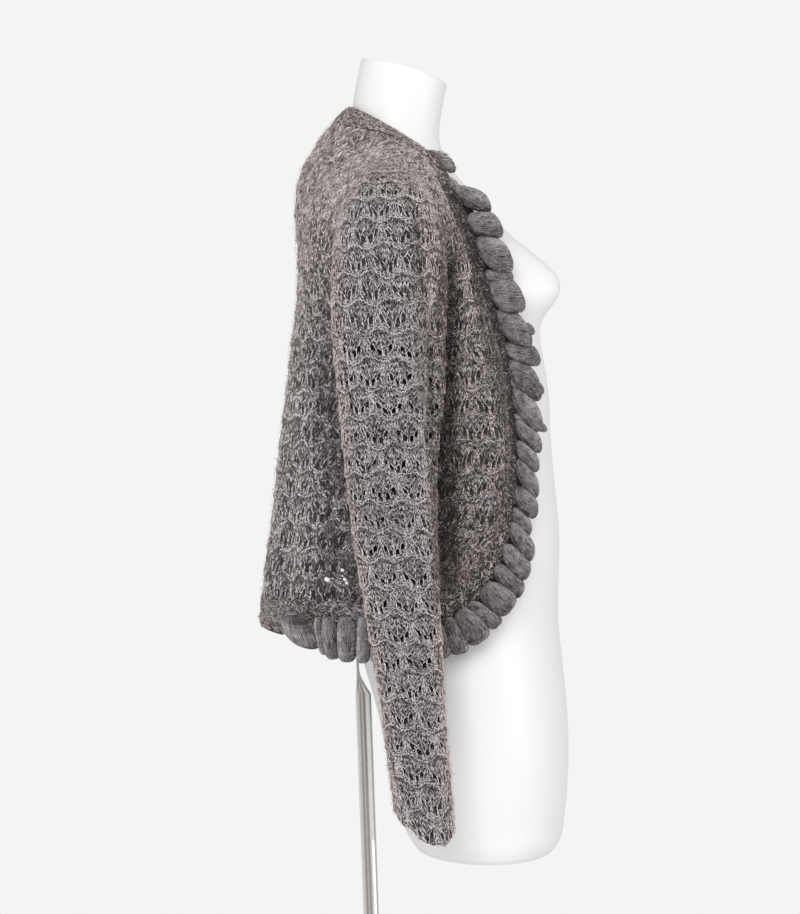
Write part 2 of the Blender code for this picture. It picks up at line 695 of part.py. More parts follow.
def build_panels():
    """Back and fronts, with their lace openings cut through."""
    lace = finish("back", (0.42, 0.38, 0.37), 0.9, 0.0)
    low_hole = HOLE_HEIGHT / (UNDERARM_Z - PANEL_HEM_Z)
    top_hole = HOLE_HEIGHT / (PANEL_NAPE[2] - UNDERARM_Z)
    low = hole_lines(0.0, 1.0, BACK_HOLE_ROWS_LOW, low_hole)
    top = hole_lines(1.0, 1.86, BACK_HOLE_ROWS_TOP, top_hole)
    levels = low[:-1] + top + [2.0]
    rows = [levels.index(low[2 * i + 1]) for i in range(BACK_HOLE_ROWS_LOW)]
    rows += [levels.index(top[2 * i + 1]) for i in range(BACK_HOLE_ROWS_TOP)]
    u, columns = back_columns()
    outer = back_grid(levels, u)
    inner = outer - KNIT_WALL * cloth_out(outer)
    wall("back", outer, inner, lace, cut_cells(rows, columns))
    a_hole = HOLE_SHARE_FRONT / FRONT_HOLE_COLUMNS
    a = np.array(hole_lines(0.0, 1.0, FRONT_HOLE_COLUMNS, a_hole))
    holes = cut_cells([2 * i + 1 for i in range(FRONT_HOLE_ROWS)],
                      [2 * j + 1 for j in range(FRONT_HOLE_COLUMNS)])
    outer = front_grid(front_levels(), a)
    inner = outer - KNIT_WALL * cloth_out(outer)
    for side in ("left", "right"):
        lace = finish(f"{side}_front", (0.42, 0.38, 0.37), 0.9, 0.0)
        if side == "left":
            wall("left_front", outer, inner, lace, holes)
        else:
            wall("right_front", mirrored(outer), mirrored(inner), lace, holes)


def build_sleeves():
    """Two sleeves, each an outer and an inner half."""
    end = SLEEVE_SECTIONS[-1].along
    runs = [0.0, 0.018, 0.035, 0.055] + hole_lines(SLEEVE_CAP, end, SLEEVE_HOLE_ROWS, HOLE_HEIGHT)
    first = 4
    rows = [first + 2 * i + 1 for i in range(SLEEVE_HOLE_ROWS)]
    holes = cut_cells(rows, [3 * j + 1 for j in range(SLEEVE_HOLE_COLUMNS)])
    for half, start in (("outer", 0.0), ("inner", 180.0)):
        outside = sleeve_grid(runs, start, 0.0)
        inside = sleeve_grid(runs, start, KNIT_WALL)
        for side in ("left", "right"):
            name = f"{side}_sleeve_{half}"
            lace = finish(name, (0.42, 0.38, 0.37), 0.9, 0.0)
            if side == "left":
                wall(name, outside, inside, lace, holes)
            else:
                wall(name, mirrored(outside), mirrored(inside), lace, holes)


def build_trim():
    """Bands and ruffles along the whole edge."""
    side_gap = 2 * SEAM_GAP
    front_runs = np.linspace(RUFFLE_START, SIDE_END - side_gap, 2 * FRONT_WAVES + 1)
    top_runs = np.linspace(NECK_END + SEAM_GAP / 2, RUFFLE_START, 4)[:-1]
    band_runs = np.concatenate([top_runs, front_runs])
    back_runs = np.linspace(SIDE_END + side_gap, 2 * BACK_END - SIDE_END - side_gap,
                            2 * BACK_WAVES + 1)
    neck_runs = np.linspace(-NECK_END + SEAM_GAP / 2, NECK_END - SEAM_GAP / 2, 17)
    columns = back_columns()[0]
    neck_columns = columns[np.abs(columns) <= SHOULDER_SHARE]
    neck_corners = NECK_END * neck_columns / SHOULDER_SHARE
    front_corners = [front_edge_run(level) for level in front_levels()][::-1]
    front_corners += [run for run in front_runs if run > front_corners[-1] + 0.002]
    bands = [
        ("neck_band", neck_runs, neck_corners, False),
        ("left_band", band_runs, np.array(front_corners), False),
        ("right_band", band_runs, np.array(front_corners), True),
        ("back_band", back_runs, back_runs, False),
    ]
    for name, runs, corners, flip in bands:
        plain = finish(name, (0.30, 0.28, 0.28), 0.9, 0.0)
        outer = band_grid(runs, corners)
        inner = outer - KNIT_WALL * cloth_out(outer)
        if flip:
            wall(name, mirrored(outer), mirrored(inner), plain)
        else:
            wall(name, outer, inner, plain)

    def no_tuck(runs):
        return np.zeros(len(runs))

    def back_tuck(runs):
        middle = (runs - SIDE_END) / (2 * (BACK_END - SIDE_END))
        return BACK_TUCK * np.sin(math.pi * middle) ** 1.5

    for name, reach, flip in (("left_ruffle", LEFT_REACH, False), ("right_ruffle", 0.0, True)):
        frill = finish(name, (0.27, 0.26, 0.28), 0.85, 0.0)
        grids = ruffle_grids(front_runs, FRONT_WAVES, FRONT_WAVE_STEPS, FRONT_WAVE_HEIGHT,
                             no_tuck, FRONT_FLARE, reach)
        if flip:
            grids = [mirrored(g) for g in grids]
        wall(name, grids[0], grids[1], frill)
    frill = finish("back_ruffle", (0.27, 0.26, 0.28), 0.85, 0.0)
    grids = ruffle_grids(back_runs, BACK_WAVES, BACK_WAVE_STEPS, BACK_WAVE_HEIGHT,
                         back_tuck, BACK_FLARE, 0.0)
    wall("back_ruffle", grids[0], grids[1], frill)


def clear():
    """Start from an empty scene."""
    for found in list(bpy.data.objects):
        bpy.data.objects.remove(found)


clear()
build_stand()
build_panels()
build_sleeves()
build_trim()
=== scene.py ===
"""Looks of the knit lace bolero on its dress form: lace, bands, ruffles, form, stand and studio.

Metres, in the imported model's frame: +Z up, the wearer faces -Y and the wearer's right side is -X.
The cloth's surfaces come from the same sizes as the solids that they stand for. Each knit piece is a
thin shell with its lace openings, and its stitches are small yarn legs laid on it.
"""

import logging
import math
from dataclasses import dataclass, field
from enum import Enum
from typing import Callable, NamedTuple, Sequence

import bpy
import numpy as np
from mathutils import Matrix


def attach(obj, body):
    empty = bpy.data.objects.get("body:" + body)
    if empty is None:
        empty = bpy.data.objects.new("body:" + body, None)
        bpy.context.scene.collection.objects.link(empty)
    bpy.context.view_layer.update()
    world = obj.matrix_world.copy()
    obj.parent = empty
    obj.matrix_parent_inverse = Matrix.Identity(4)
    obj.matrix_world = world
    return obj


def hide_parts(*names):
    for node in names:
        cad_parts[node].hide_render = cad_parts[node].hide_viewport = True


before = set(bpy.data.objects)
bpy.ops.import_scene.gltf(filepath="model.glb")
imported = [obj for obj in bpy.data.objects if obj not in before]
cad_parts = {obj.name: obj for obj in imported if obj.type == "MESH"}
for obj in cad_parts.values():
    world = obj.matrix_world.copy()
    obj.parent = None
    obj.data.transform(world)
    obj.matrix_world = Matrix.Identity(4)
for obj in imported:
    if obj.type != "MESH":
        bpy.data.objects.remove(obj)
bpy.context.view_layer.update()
LOG = logging.getLogger("bolero")

Array = np.ndarray
Colour = tuple[float, float, float]
Pair = tuple[float, float]
Surface = Callable[..., Array]
Piece = bpy.types.Object
Material = bpy.types.Material


class Side(Enum):
    """The wearer's sides, with the sign of X on each."""

    LEFT = 1.0
    RIGHT = -1.0


class Held(Enum):
    """How a sheet of cloth is held."""

    HUNG = "hung"
    GATHERED = "gathered"


class EdgePoint(NamedTuple):
    """A point of the left front edge."""

    x: float
    y: float
    z: float


class BackSection(NamedTuple):
    """Depth of the middle of the back at a height."""

    height: float
    depth: float


class SideSection(NamedTuple):
    """Half width of the body at its side seam."""

    height: float
    half_width: float


class SleeveSection(NamedTuple):
    """A ring of the left sleeve."""

    along: float
    inner_x: float
    inner_z: float
    turn: float
    half_thick: float
    half_depth: float
    centre_y: float
    lean: float = 0.0


class FormSection(NamedTuple):
    """A ring of the dress form."""

    height: float
    half_width: float
    front: float
    back: float
    roundness: float = 2.0
    lean: float = 0.0


class PoleSection(NamedTuple):
    """A ring of the pole."""

    height: float
    half_x: float
    half_y: float
    back_shift: float


class Fold(NamedTuple):
    """A soft trough: where, how wide, how deep, and between which heights or lengths."""

    at: float
    width: float
    depth: float
    low: float
    high: float


class FuzzyRidge(NamedTuple):
    """A fuzzy fold: its ends as distances up and across the cloth (or from its edge), its half width
    and its fibres."""

    low: Pair
    high: Pair
    wide: float
    count: int
    from_edge: bool = False


class Lump(NamedTuple):
    """One rolled pleat of a ruffle: start and end along the edge, length, height and slant."""

    start: float
    end: float
    length: float
    height: float
    slant: float


BACK_PROFILE = [BackSection(*row) for row in (
    (1.026, 0.152), (1.062, 0.150), (1.127, 0.1415), (1.180, 0.136), (1.243, 0.1283), (1.308, 0.121),
    (1.341, 0.1165), (1.384, 0.1155), (1.435, 0.118), (1.470, 0.1125), (1.4935, 0.100), (1.5125, 0.087),
    (1.536, 0.066),
)]

SIDE_PROFILE = [SideSection(*row) for row in (
    (1.026, 0.177), (1.120, 0.169), (1.200, 0.1665), (1.260, 0.168), (1.295, 0.16985),
)]

FRONT_EDGE = [EdgePoint(*row) for row in (
    (0.068, 0.011, 1.502), (0.083, -0.021, 1.477), (0.102, -0.042, 1.440), (0.115, -0.055, 1.410),
    (0.126, -0.065, 1.381), (0.127, -0.075, 1.347), (0.124, -0.083, 1.317), (0.121, -0.091, 1.286),
    (0.119, -0.097, 1.240), (0.120, -0.100, 1.195), (0.125, -0.099, 1.160), (0.134, -0.095, 1.126),
    (0.145, -0.088, 1.100), (0.154, -0.079, 1.079), (0.161, -0.068, 1.061), (0.167, -0.054, 1.045),
    (0.172, -0.036, 1.032), (0.175, -0.016, 1.0265),
)]

SLEEVE_SECTIONS = [SleeveSection(*row) for row in (
    (0.000, 0.17015, 1.2950, 90.0, 0.0820, 0.0530, 0.0230),
    (0.035, 0.1720, 1.2900, 62.0, 0.0730, 0.0535, 0.0230),
    (0.075, 0.1755, 1.2830, 38.0, 0.0560, 0.0535, 0.0230),
    (0.115, 0.1795, 1.2680, 18.0, 0.0430, 0.0525, 0.0222),
    (0.155, 0.1830, 1.2380, 6.0, 0.0385, 0.0498, 0.0208),
    (0.201, 0.1855, 1.1924, 2.0, 0.0355, 0.0448, 0.0212),
    (0.247, 0.1870, 1.1467, 0.0, 0.0335, 0.0407, 0.0203),
    (0.293, 0.1895, 1.1010, 0.0, 0.0315, 0.0386, 0.0164),
    (0.338, 0.1915, 1.0553, 0.0, 0.0300, 0.0357, 0.0117),
    (0.384, 0.1930, 1.0096, 0.0, 0.0285, 0.0334, 0.0066),
    (0.430, 0.1935, 0.9639, 0.0, 0.0270, 0.0306, 0.0016, 0.03),
    (0.476, 0.1935, 0.9182, 0.0, 0.0255, 0.0292, -0.0025, 0.12),
    (0.543, 0.1935, 0.8510, 0.0, 0.0240, 0.0272, -0.0078, 0.55),
)]

FORM_SECTIONS = [FormSection(*row) for row in (
    (0.798, 0.122, -0.140, -0.003), (0.806, 0.127, -0.146, 0.003), (0.830, 0.133, -0.151, 0.012),
    (0.863, 0.141, -0.154, 0.023), (0.903, 0.147, -0.155, 0.029), (0.943, 0.151, -0.153, 0.038),
    (0.983, 0.153, -0.149, 0.0495), (1.023, 0.152, -0.145, 0.05512), (1.063, 0.148, -0.145, 0.0540),
    (1.103, 0.141, -0.146, 0.048), (1.143, 0.132, -0.143, 0.043), (1.183, 0.123, -0.139, 0.041),
    (1.213, 0.118, -0.137, 0.042), (1.243, 0.116, -0.136, 0.047), (1.273, 0.118, -0.132, 0.057),
    (1.298, 0.123, -0.127, 0.069), (1.320, 0.128, -0.122, 0.078), (1.340, 0.132, -0.120, 0.087),
    (1.363, 0.135, -0.114, 0.095), (1.385, 0.138, -0.105, 0.100, 1.90),
    (1.405, 0.142, -0.094, 0.104, 1.80), (1.425, 0.149, -0.079, 0.106, 1.70),
    (1.443, 0.148, -0.063, 0.103, 1.55), (1.456, 0.136, -0.053, 0.097, 1.55),
    (1.467, 0.114, -0.044, 0.090, 1.60), (1.479, 0.088, -0.036, 0.082, 1.70),
    (1.492, 0.066, -0.029, 0.075, 1.85), (1.508, 0.057, -0.026, 0.070),
    (1.528, 0.053, -0.028, 0.062, 2.0, 0.03), (1.551, 0.0515, -0.031, 0.057, 2.0, 0.14),
    (1.5695, 0.0510, -0.034, 0.052, 2.0, 0.29),
)]

POLE_SECTIONS = [PoleSection(*row) for row in (
    (0.0083, 0.0078, 0.0078, 0.0), (0.450, 0.0078, 0.0078, 0.0), (0.949, 0.0078, 0.0078, 0.0),
    (0.957, 0.0084, 0.0050, 0.0020), (0.966, 0.0100, 0.0022, 0.0040), (0.972, 0.0104, 0.0014, 0.0046),
    (1.060, 0.0104, 0.0014, 0.0046),
)]

# Sleeve troughs, in degrees round the sleeve from its outer line (front negative), depth as a share
# of the radius, low and high in metres along the sleeve.
SLEEVE_FOLDS = [
    Fold(-62.0, 20.0, 0.15, 0.05, 0.26),
    Fold(38.0, 24.0, 0.07, 0.16, 0.40),
    Fold(-25.0, 22.0, 0.07, 0.30, 0.50),
    Fold(150.0, 26.0, 0.10, 0.12, 0.45),
]

# Sharper creases of the sleeve's own: a ridge and a sunken strip along its front.
SLEEVE_CREASES = [
    Fold(-66.0, 16.0, 0.16, 0.03, 0.27),
    Fold(-36.0, 9.0, -0.05, 0.03, 0.26),
]

# Line of the sleeve's fold, beside which its front carries a painted shadow line and painted shade: heights,
# and y at each.
FOLD_SHADOW_LINE = ([1.057, 1.174, 1.249, 1.363, 1.418], [-0.015, -0.0132, -0.0096, 0.0013, 0.006])

# Line forward of which the fronts are plain and dark: heights, and y at each.
PLAIN_LINE = (
    [1.193, 1.240, 1.288, 1.334, 1.381, 1.420, 1.450],
    [-0.0765, -0.0737, -0.063, -0.056, -0.049, -0.041, -0.030],
)

# Trough of each front beside the sleeve: y, half width and depth in metres, low and high heights.
FRONT_FOLDS = [
    Fold(-0.0325, 0.0062, 0.025, 1.040, 1.395),
    Fold(-0.0580, 0.0070, 0.003, 1.120, 1.380),
]

# Dropped stitches that let light through: y, z and half width of those on the right.
LOOSE_STITCHES = [
    (0.0815, 1.0712, 0.0029), (0.0763, 1.0728, 0.0013), (0.0672, 1.0800, 0.0019),
    (0.0668, 1.0745, 0.0012), (0.0648, 1.0712, 0.0018), (0.0628, 1.0681, 0.0016),
]
# Those on the left lie behind them: y and z that they spread from, how far, and how much wider they are.
LOOSE_SPREAD = (0.013, 1.186, 1.138, 1.3)

# Back troughs: at and width as shares of the half back, depth in metres at the hem.
BACK_FOLDS = [
    Fold(0.34, 0.16, 0.010, 1.048, 1.300),
    Fold(-0.36, 0.15, 0.009, 1.048, 1.270),
    Fold(0.74, 0.12, 0.006, 1.048, 1.220),
    Fold(-0.72, 0.12, 0.007, 1.048, 1.240),
]


def smooth(keys: Array, values: Array, at: Array) -> Array:
    """Reads a table on a curve with no corners.

    Args:
        keys: The table's rising key column.
        values: The column to read.
        at: Key values to read at.

    Returns:
        The column's values at those keys.
    """
    keys, values = np.asarray(keys, float), np.asarray(values, float)
    slopes = np.gradient(values, keys)
    at = np.clip(np.asarray(at, float), keys[0], keys[-1])
    cell = np.clip(np.searchsorted(keys, at) - 1, 0, len(keys) - 2)
    span = keys[cell + 1] - keys[cell]
    t = (at - keys[cell]) / span
    start = (2 * t**3 - 3 * t**2 + 1) * values[cell] + (t**3 - 2 * t**2 + t) * span * slopes[cell]
    end = (3 * t**2 - 2 * t**3) * values[cell + 1] + (t**3 - t**2) * span * slopes[cell + 1]
    return start + end


def read(table: Sequence[NamedTuple], key: str, column: str, at: Array) -> Array:
    """Reads a named column of a table smoothly at values of its key column.

    Args:
        table: Rows with named columns.
        key: Name of the key column.
        column: Name of the column to read.
        at: Key values to read at.

    Returns:
        The column's values there.
    """
    return smooth([getattr(r, key) for r in table], [getattr(r, column) for r in table], at)


def ease(value: Array, low: float, high: float) -> Array:
    """A soft step from 0 below low to 1 above high."""
    t = np.clip((np.asarray(value, float) - low) / (high - low), 0.0, 1.0)
    return t * t * (3.0 - 2.0 * t)


def unit(vectors: Array) -> Array:
    """The same directions with a length of one."""
    return vectors / np.maximum(np.linalg.norm(vectors, axis=-1, keepdims=True), 1e-12)


def flip_x(points: Array) -> Array:
    """The same points on the wearer's other side."""
    return points * np.array([-1.0, 1.0, 1.0])


def make_mesh(name: str, points: Array, faces: Array, material: Material) -> Piece:
    """A smooth-shaded mesh object at the origin.

    Args:
        name: The object's name.
        points: Corners, one a row.
        faces: Corner numbers, one face a row.
        material: The object's finish.

    Returns:
        The new object.
    """
    mesh = bpy.data.meshes.new(name)
    mesh.from_pydata(np.asarray(points).tolist(), [], np.asarray(faces).tolist())
    mesh.materials.append(material)
    mesh.polygons.foreach_set("use_smooth", np.ones(len(mesh.polygons), bool))
    mesh.update()
    made = bpy.data.objects.new(name, mesh)
    bpy.context.scene.collection.objects.link(made)
    return made


def set_attribute(mesh: bpy.types.Mesh, name: str, values: Array) -> None:
    """Writes a number or a vector for each corner of a mesh."""
    kind, key = ("FLOAT_VECTOR", "vector") if values.ndim == 2 else ("FLOAT", "value")
    made = mesh.attributes.new(name, kind, "POINT")
    made.data.foreach_set(key, np.ascontiguousarray(values, np.float32).ravel())


def grid_faces(rows: int, columns: int, open_cells: Array | None = None, around: bool = False) -> Array:
    """Four-sided faces of a grid of points.

    Args:
        rows: Rows of points.
        columns: Points in a row.
        open_cells: True where a cell is left out.
        around: Whether the last column joins the first.

    Returns:
        Corner numbers, one face a row.
    """
    i, j = np.meshgrid(np.arange(rows - 1), np.arange(columns if around else columns - 1), indexing="ij")
    k = (j + 1) % columns
    low, high = i * columns, (i + 1) * columns
    faces = np.stack([low + j, low + k, high + k, high + j], axis=-1)
    return faces[~open_cells] if open_cells is not None else faces.reshape(-1, 4)


def level_ring(turn: Array, half_x: float, half_y: float, y: float, z: float) -> Array:
    """A level ring of points round the Z axis, moved along Y."""
    return np.stack([half_x * np.cos(turn), y + half_y * np.sin(turn), np.full_like(turn, z)], axis=-1)


class NodeMaker:
    """Adds nodes to a tree, with their settings and inputs in one call."""

    def __init__(self, tree: bpy.types.NodeTree) -> None:
        """Keeps the tree."""
        self.tree = tree

    def fill(self, node: bpy.types.Node, inputs: dict[str | int, object]) -> None:
        """Sets a node's inputs, each to a value or to another node's output."""
        for name, value in inputs.items():
            if isinstance(value, bpy.types.NodeSocket):
                self.tree.links.new(value, node.inputs[name])
            else:
                node.inputs[name].default_value = value

    def add(self, kind: str, inputs: dict[str | int, object] | None = None,
            **settings: object) -> bpy.types.Node:
        """Adds a node.

        Args:
            kind: The node's type.
            inputs: A value or another node's output for each input.
            settings: The node's own settings.

        Returns:
            The new node.
        """
        made = self.tree.nodes.new(kind)
        for name, value in settings.items():
            setattr(made, name, value)
        self.fill(made, inputs or {})
        return made


@dataclass
class BoleroCut:
    """Sizes of the bolero and the surfaces of its pieces, for the wearer's left side."""

    seam_gap: float = 0.0003
    panel_gap: float = 0.0007
    knit_wall: float = 0.003
    armhole_x: float = 0.170
    armhole_y: float = 0.023
    armhole_z: float = 1.377
    armhole_half_depth: float = 0.053
    armhole_half_height: float = 0.082
    hem_z: float = 1.026
    hem_half_width: float = 0.177
    hem_half_depth: float = 0.129
    neck_half_width: float = 0.068
    neck_y: float = 0.011
    neck_z: float = 1.502
    nape_back: float = 0.055
    nape_rise: float = 0.034
    shoulder_share: float = 0.38626
    band_width: float = 0.020
    back_arcs: tuple[float, float, float] = (89.0, 80.0, 40.0)
    front_arcs: Pair = (70.0, 12.0)
    ruffle_start_z: float = 1.482
    seam_bow: float = 0.003
    cuff_start: float = 0.42
    cuff_slant: float = 0.0125
    cuff_round: float = 0.009
    cuff_round_from: float = 0.60
    cuff_forward: float = 0.0025

    def __post_init__(self) -> None:
        """Works out the whole front, hem and neck edge once."""
        self.underarm_z = self.armhole_z - self.armhole_half_height
        self.panel_hem_z = self.hem_z + self.band_width + self.panel_gap
        points = self._edge_line(600)
        steps = np.linalg.norm(np.diff(points, axis=0), axis=1)
        run = np.concatenate([[0.0], np.cumsum(steps)])
        forward = unit(np.gradient(points, run, axis=0))
        out = self.cloth_out(points)
        self.edge_run = run
        self.edge_columns = (points, out, unit(np.cross(forward, out)), forward)
        self.back_end = float(run[-1])
        self.neck_end = self._run_nearest(np.array(FRONT_EDGE[0]))
        self.side_end = self._run_nearest(np.array([self.hem_half_width, self.armhole_y, self.hem_z]))
        on_front = (run > self.neck_end) & (run < self.side_end - 0.06)
        off = np.where(on_front, abs(points[:, 2] - self.ruffle_start_z), 1.0)
        self.ruffle_start = float(run[np.argmin(off)])
        self.panel_nape = self.panel_edge(np.array([0.0]))[0]
        self.panel_neck_point = self.panel_edge(np.array([self.neck_end]))[0]
        self.shoulder_point = self.armhole(np.array([1.0]), 1)[0]
        runs = np.linspace(self.neck_end, self.side_end, 400)
        line = self.panel_edge(runs)
        lowest = int(np.argmax(line[:, 2] < self.panel_hem_z + 0.0004)) or len(runs) - 1
        heights = line[: lowest + 1, 2][::-1]
        self.front_runs = runs[: lowest + 1][::-1]
        self.front_heights = np.maximum.accumulate(heights + 1e-7 * np.arange(len(heights)))

    def cloth_out(self, points: Array) -> Array:
        """Outward direction of the bolero's body at these points."""
        x, y, z = points[..., 0], points[..., 1], points[..., 2]
        depth = 0.0169 + (0.006 - 0.0169) * ease(z, 1.40, 1.49)
        rise = 8.0 * ease(z, 1.32, 1.52)
        return unit(np.stack([x / 0.0289, (y - 0.016) / depth, rise], axis=-1))

    def _edge_line(self, count: int) -> Array:
        """Outer edge of the left half, from the nape over the front and the hem to the middle back."""
        control = []
        for degrees in (90, 70, 50, 30, 14):
            a = math.radians(degrees)
            x = self.neck_half_width * math.cos(a)
            y, z = self.neck_y + self.nape_back * math.sin(a), self.neck_z + self.nape_rise * math.sin(a)
            control.append((x, y, z))
        control.extend(tuple(p) for p in FRONT_EDGE)
        for degrees in (0, 12, 25, 40, 55, 70, 80, 90):
            a = math.radians(degrees)
            y = self.armhole_y + self.hem_half_depth * math.sin(a)
            control.append((self.hem_half_width * math.cos(a), y, self.hem_z))
        control = np.array(control)
        keys = np.concatenate([[0.0], np.cumsum(np.linalg.norm(np.diff(control, axis=0), axis=1))])
        at = np.linspace(0.0, keys[-1], count)
        return np.stack([smooth(keys, control[:, i], at) for i in range(3)], axis=-1)

    def _run_nearest(self, point: Array) -> float:
        """Length along the edge at its nearest place to a point."""
        return float(self.edge_run[np.argmin(np.linalg.norm(self.edge_columns[0] - point, axis=1))])

    def edge_at(self, run: Array) -> tuple[Array, Array, Array, Array]:
        """The edge at lengths along it, going on along the right half past either middle.

        Args:
            run: Lengths from the nape; negative ones and those past the middle back are on the right.

        Returns:
            Points, outward directions, directions away from the cloth, and forward directions.
        """
        run = np.asarray(run, float)
        right = (run > self.back_end) | (run < 0)
        folded = np.where(run > self.back_end, 2 * self.back_end - run, np.abs(run))
        found = []
        for values in self.edge_columns:
            value = np.stack([np.interp(folded, self.edge_run, values[:, i]) for i in range(3)], axis=-1)
            value[..., 0] *= np.where(right, -1.0, 1.0)
            found.append(value)
        found[3] = found[3] * np.where(right, -1.0, 1.0)[..., None]
        return found[0], unit(found[1]), unit(found[2]), unit(found[3])

    def panel_edge(self, run: Array) -> Array:
        """Where a panel ends against the band at these lengths along the edge."""
        points, _, away, _ = self.edge_at(run)
        return points - (self.band_width + self.panel_gap) * away

    def armhole(self, share: Array, face: int) -> Array:
        """Armhole points from underarm (0) to shoulder (1); face is 1 for the back and -1 for the front."""
        turn = math.pi * np.asarray(share, float)
        y = self.armhole_y + face * self.armhole_half_depth * np.sin(turn)
        z = self.armhole_z - self.armhole_half_height * np.cos(turn)
        return np.stack([np.full_like(turn, self.armhole_x - self.seam_gap / 2), y, z], axis=-1)

    def _back_top(self, u: Array) -> Array:
        """Top line of the back: shoulder seams and the inner edge of the neck band."""
        share = np.abs(u)
        neck = self.panel_edge(self.neck_end * np.clip(share / self.shoulder_share, 0.0, 1.0))
        slope = np.clip((share - self.shoulder_share) / (1 - self.shoulder_share), 0.0, 1.0)[:, None]
        seam = self.panel_neck_point + slope * (self.shoulder_point - self.panel_neck_point)
        line = np.where((share <= self.shoulder_share)[:, None], neck, seam)
        line[:, 0] *= np.where(u < 0, -1.0, 1.0)
        return line

    def _back_arc(self, level: float, u: Array) -> Array:
        """One row of the back as a plain arc."""
        low, under, top = self.back_arcs
        if level <= 1.0:
            z = self.panel_hem_z + (self.underarm_z - self.panel_hem_z) * level
            edge = np.array([float(read(SIDE_PROFILE, "height", "half_width", z)), self.armhole_y, z])
            middle_z, arc = z, low + (under - low) * level
        else:
            share = level - 1.0
            edge = self.armhole(np.array([share]), 1)[0]
            middle_z = self.underarm_z + (self.panel_nape[2] - self.underarm_z) * share
            arc = under + (top - under) * share
        middle_y = float(read(BACK_PROFILE, "height", "depth", middle_z))
        reach = math.radians(arc)
        bend = (np.cos(u * reach) - math.cos(reach)) / (1 - math.cos(reach))
        x = edge[0] * np.sin(u * reach) / math.sin(reach)
        y = edge[1] + (middle_y - edge[1]) * bend
        return np.stack([x, y, edge[2] + (middle_z - edge[2]) * bend], axis=-1)

    def back_row(self, level: float, u: Array) -> Array:
        """One row of the back with its folds.

        Args:
            level: 0 to 1 from the hem to the underarm, 1 to 2 up the armhole.
            u: Places across, -1 at the right side and 1 at the left.

        Returns:
            Points on the outer face.
        """
        row = self._back_arc(level, u)
        if level > 1.0:
            row = row + (level - 1.0) ** 4 * (self._back_top(u) - self._back_arc(2.0, u))
        push = np.zeros(len(u))
        for fold in BACK_FOLDS:
            fade = 1.0 - ease(row[:, 2], fold.low, fold.high)
            push -= fold.depth * fade * np.exp(-(((u - fold.at) / fold.width) ** 2))
        push *= 1.0 - ease(np.abs(u), 0.86, 1.0)
        return row + push[:, None] * self.cloth_out(row)

    def _front_arc(self, level: float, a: Array) -> Array:
        """One row of the left front as a plain arc, from the side seam or armhole (a 0) to the band (a 1)."""
        low, top = self.front_arcs
        if level <= 1.0:
            z = self.panel_hem_z + (self.underarm_z - self.panel_hem_z) * level
            start = np.array([float(read(SIDE_PROFILE, "height", "half_width", z)), self.armhole_y, z])
            arc, edge_z = low, z
        else:
            start = self.armhole(np.array([level - 1.0]), -1)[0]
            arc = low + (top - low) * (level - 1.0)
            edge_z = self.underarm_z + (self.front_heights[-1] - self.underarm_z) * (level - 1.0)
        run = np.interp(edge_z, self.front_heights, self.front_runs)
        end = self.panel_edge(np.array([run]))[0]
        reach = math.radians(arc)
        x = start[0] + (end[0] - start[0]) * (1 - np.cos(a * reach)) / (1 - math.cos(reach))
        y = start[1] + (end[1] - start[1]) * np.sin(a * reach) / math.sin(reach)
        return np.stack([x, y, start[2] + (end[2] - start[2]) * a], axis=-1)

    def front_row(self, level: float, a: Array) -> Array:
        """One row of the left front with its folds, straight along the shoulder seam."""
        row = self._front_arc(level, a)
        if level > 1.0:
            top = self._front_arc(2.0, a)
            bow = 4 * (a * (1 - a))[:, None] * np.array([0, self.seam_bow, 0])
            seam = top[0] + a[:, None] * (top[-1] - top[0]) + bow
            row = row + (level - 1.0) ** 4 * (seam - top)
        push, y, z = np.zeros(len(a)), row[:, 1], row[:, 2]
        for fold in FRONT_FOLDS:
            fade = ease(z, fold.low, fold.low + 0.06) * (1.0 - ease(z, fold.high - 0.05, fold.high))
            push -= fold.depth * fade * np.exp(-(((y - fold.at) / fold.width) ** 2))
        push *= ease(a, 0.0, 0.12) * (1.0 - ease(a, 0.88, 1.0))
        return row + push[:, None] * self.cloth_out(row)

    def sleeve_points(self, along: Array, degrees: Array) -> tuple[Array, Array, Array]:
        """Points of the left sleeve.

        Args:
            along: Lengths along the sleeve from the armhole.
            degrees: Angles round it from its outer line, front negative.

        Returns:
            Points, outward directions, and the knitted height of each point, which is level at the
            head of the sleeve and follows the rings further down.
        """
        ring = {f: read(SLEEVE_SECTIONS, "along", f, along)[:, None] for f in SleeveSection._fields[1:]}
        angle, turn = np.radians(degrees)[None, :], np.radians(ring["turn"])
        dent = np.zeros((len(along), len(degrees)))
        for fold in SLEEVE_FOLDS + SLEEVE_CREASES:
            fade = ease(along, fold.low, fold.low + 0.08) * (1.0 - ease(along, fold.high - 0.10, fold.high))
            off = (np.asarray(degrees) - fold.at + 180.0) % 360.0 - 180.0
            dent += fold.depth * fade[:, None] * np.exp(-((off / fold.width) ** 2))[None, :]
        thick = ring["half_thick"] * np.cos(angle) * (1 - dent)
        deep = ring["half_depth"] * np.sin(angle) * (1 - dent)
        reach = ring["half_thick"] + thick
        x = ring["inner_x"] + reach * np.cos(turn)
        z = ring["inner_z"] + reach * np.sin(turn) + ring["lean"] * deep
        cuff = ease(along, self.cuff_start, SLEEVE_SECTIONS[-1].along)[:, None] ** 2
        front = np.maximum(-np.sin(angle), 0.0)
        rounded = self.cuff_round * ease(front, self.cuff_round_from, 1.0)
        z = z + cuff * (rounded - self.cuff_slant * np.cos(angle))
        points = np.stack([x, ring["centre_y"] + deep - self.cuff_forward * cuff * front, z], axis=-1)
        sideways, up = np.cos(angle) * np.cos(turn), np.cos(angle) * np.sin(turn)
        out = np.stack([sideways, np.sin(angle) + 0 * turn, up], axis=-1)
        ringed = ease(along, 0.10, 0.22)[:, None]
        return points, out, (1 - ringed) * z + ringed * ring["inner_z"]


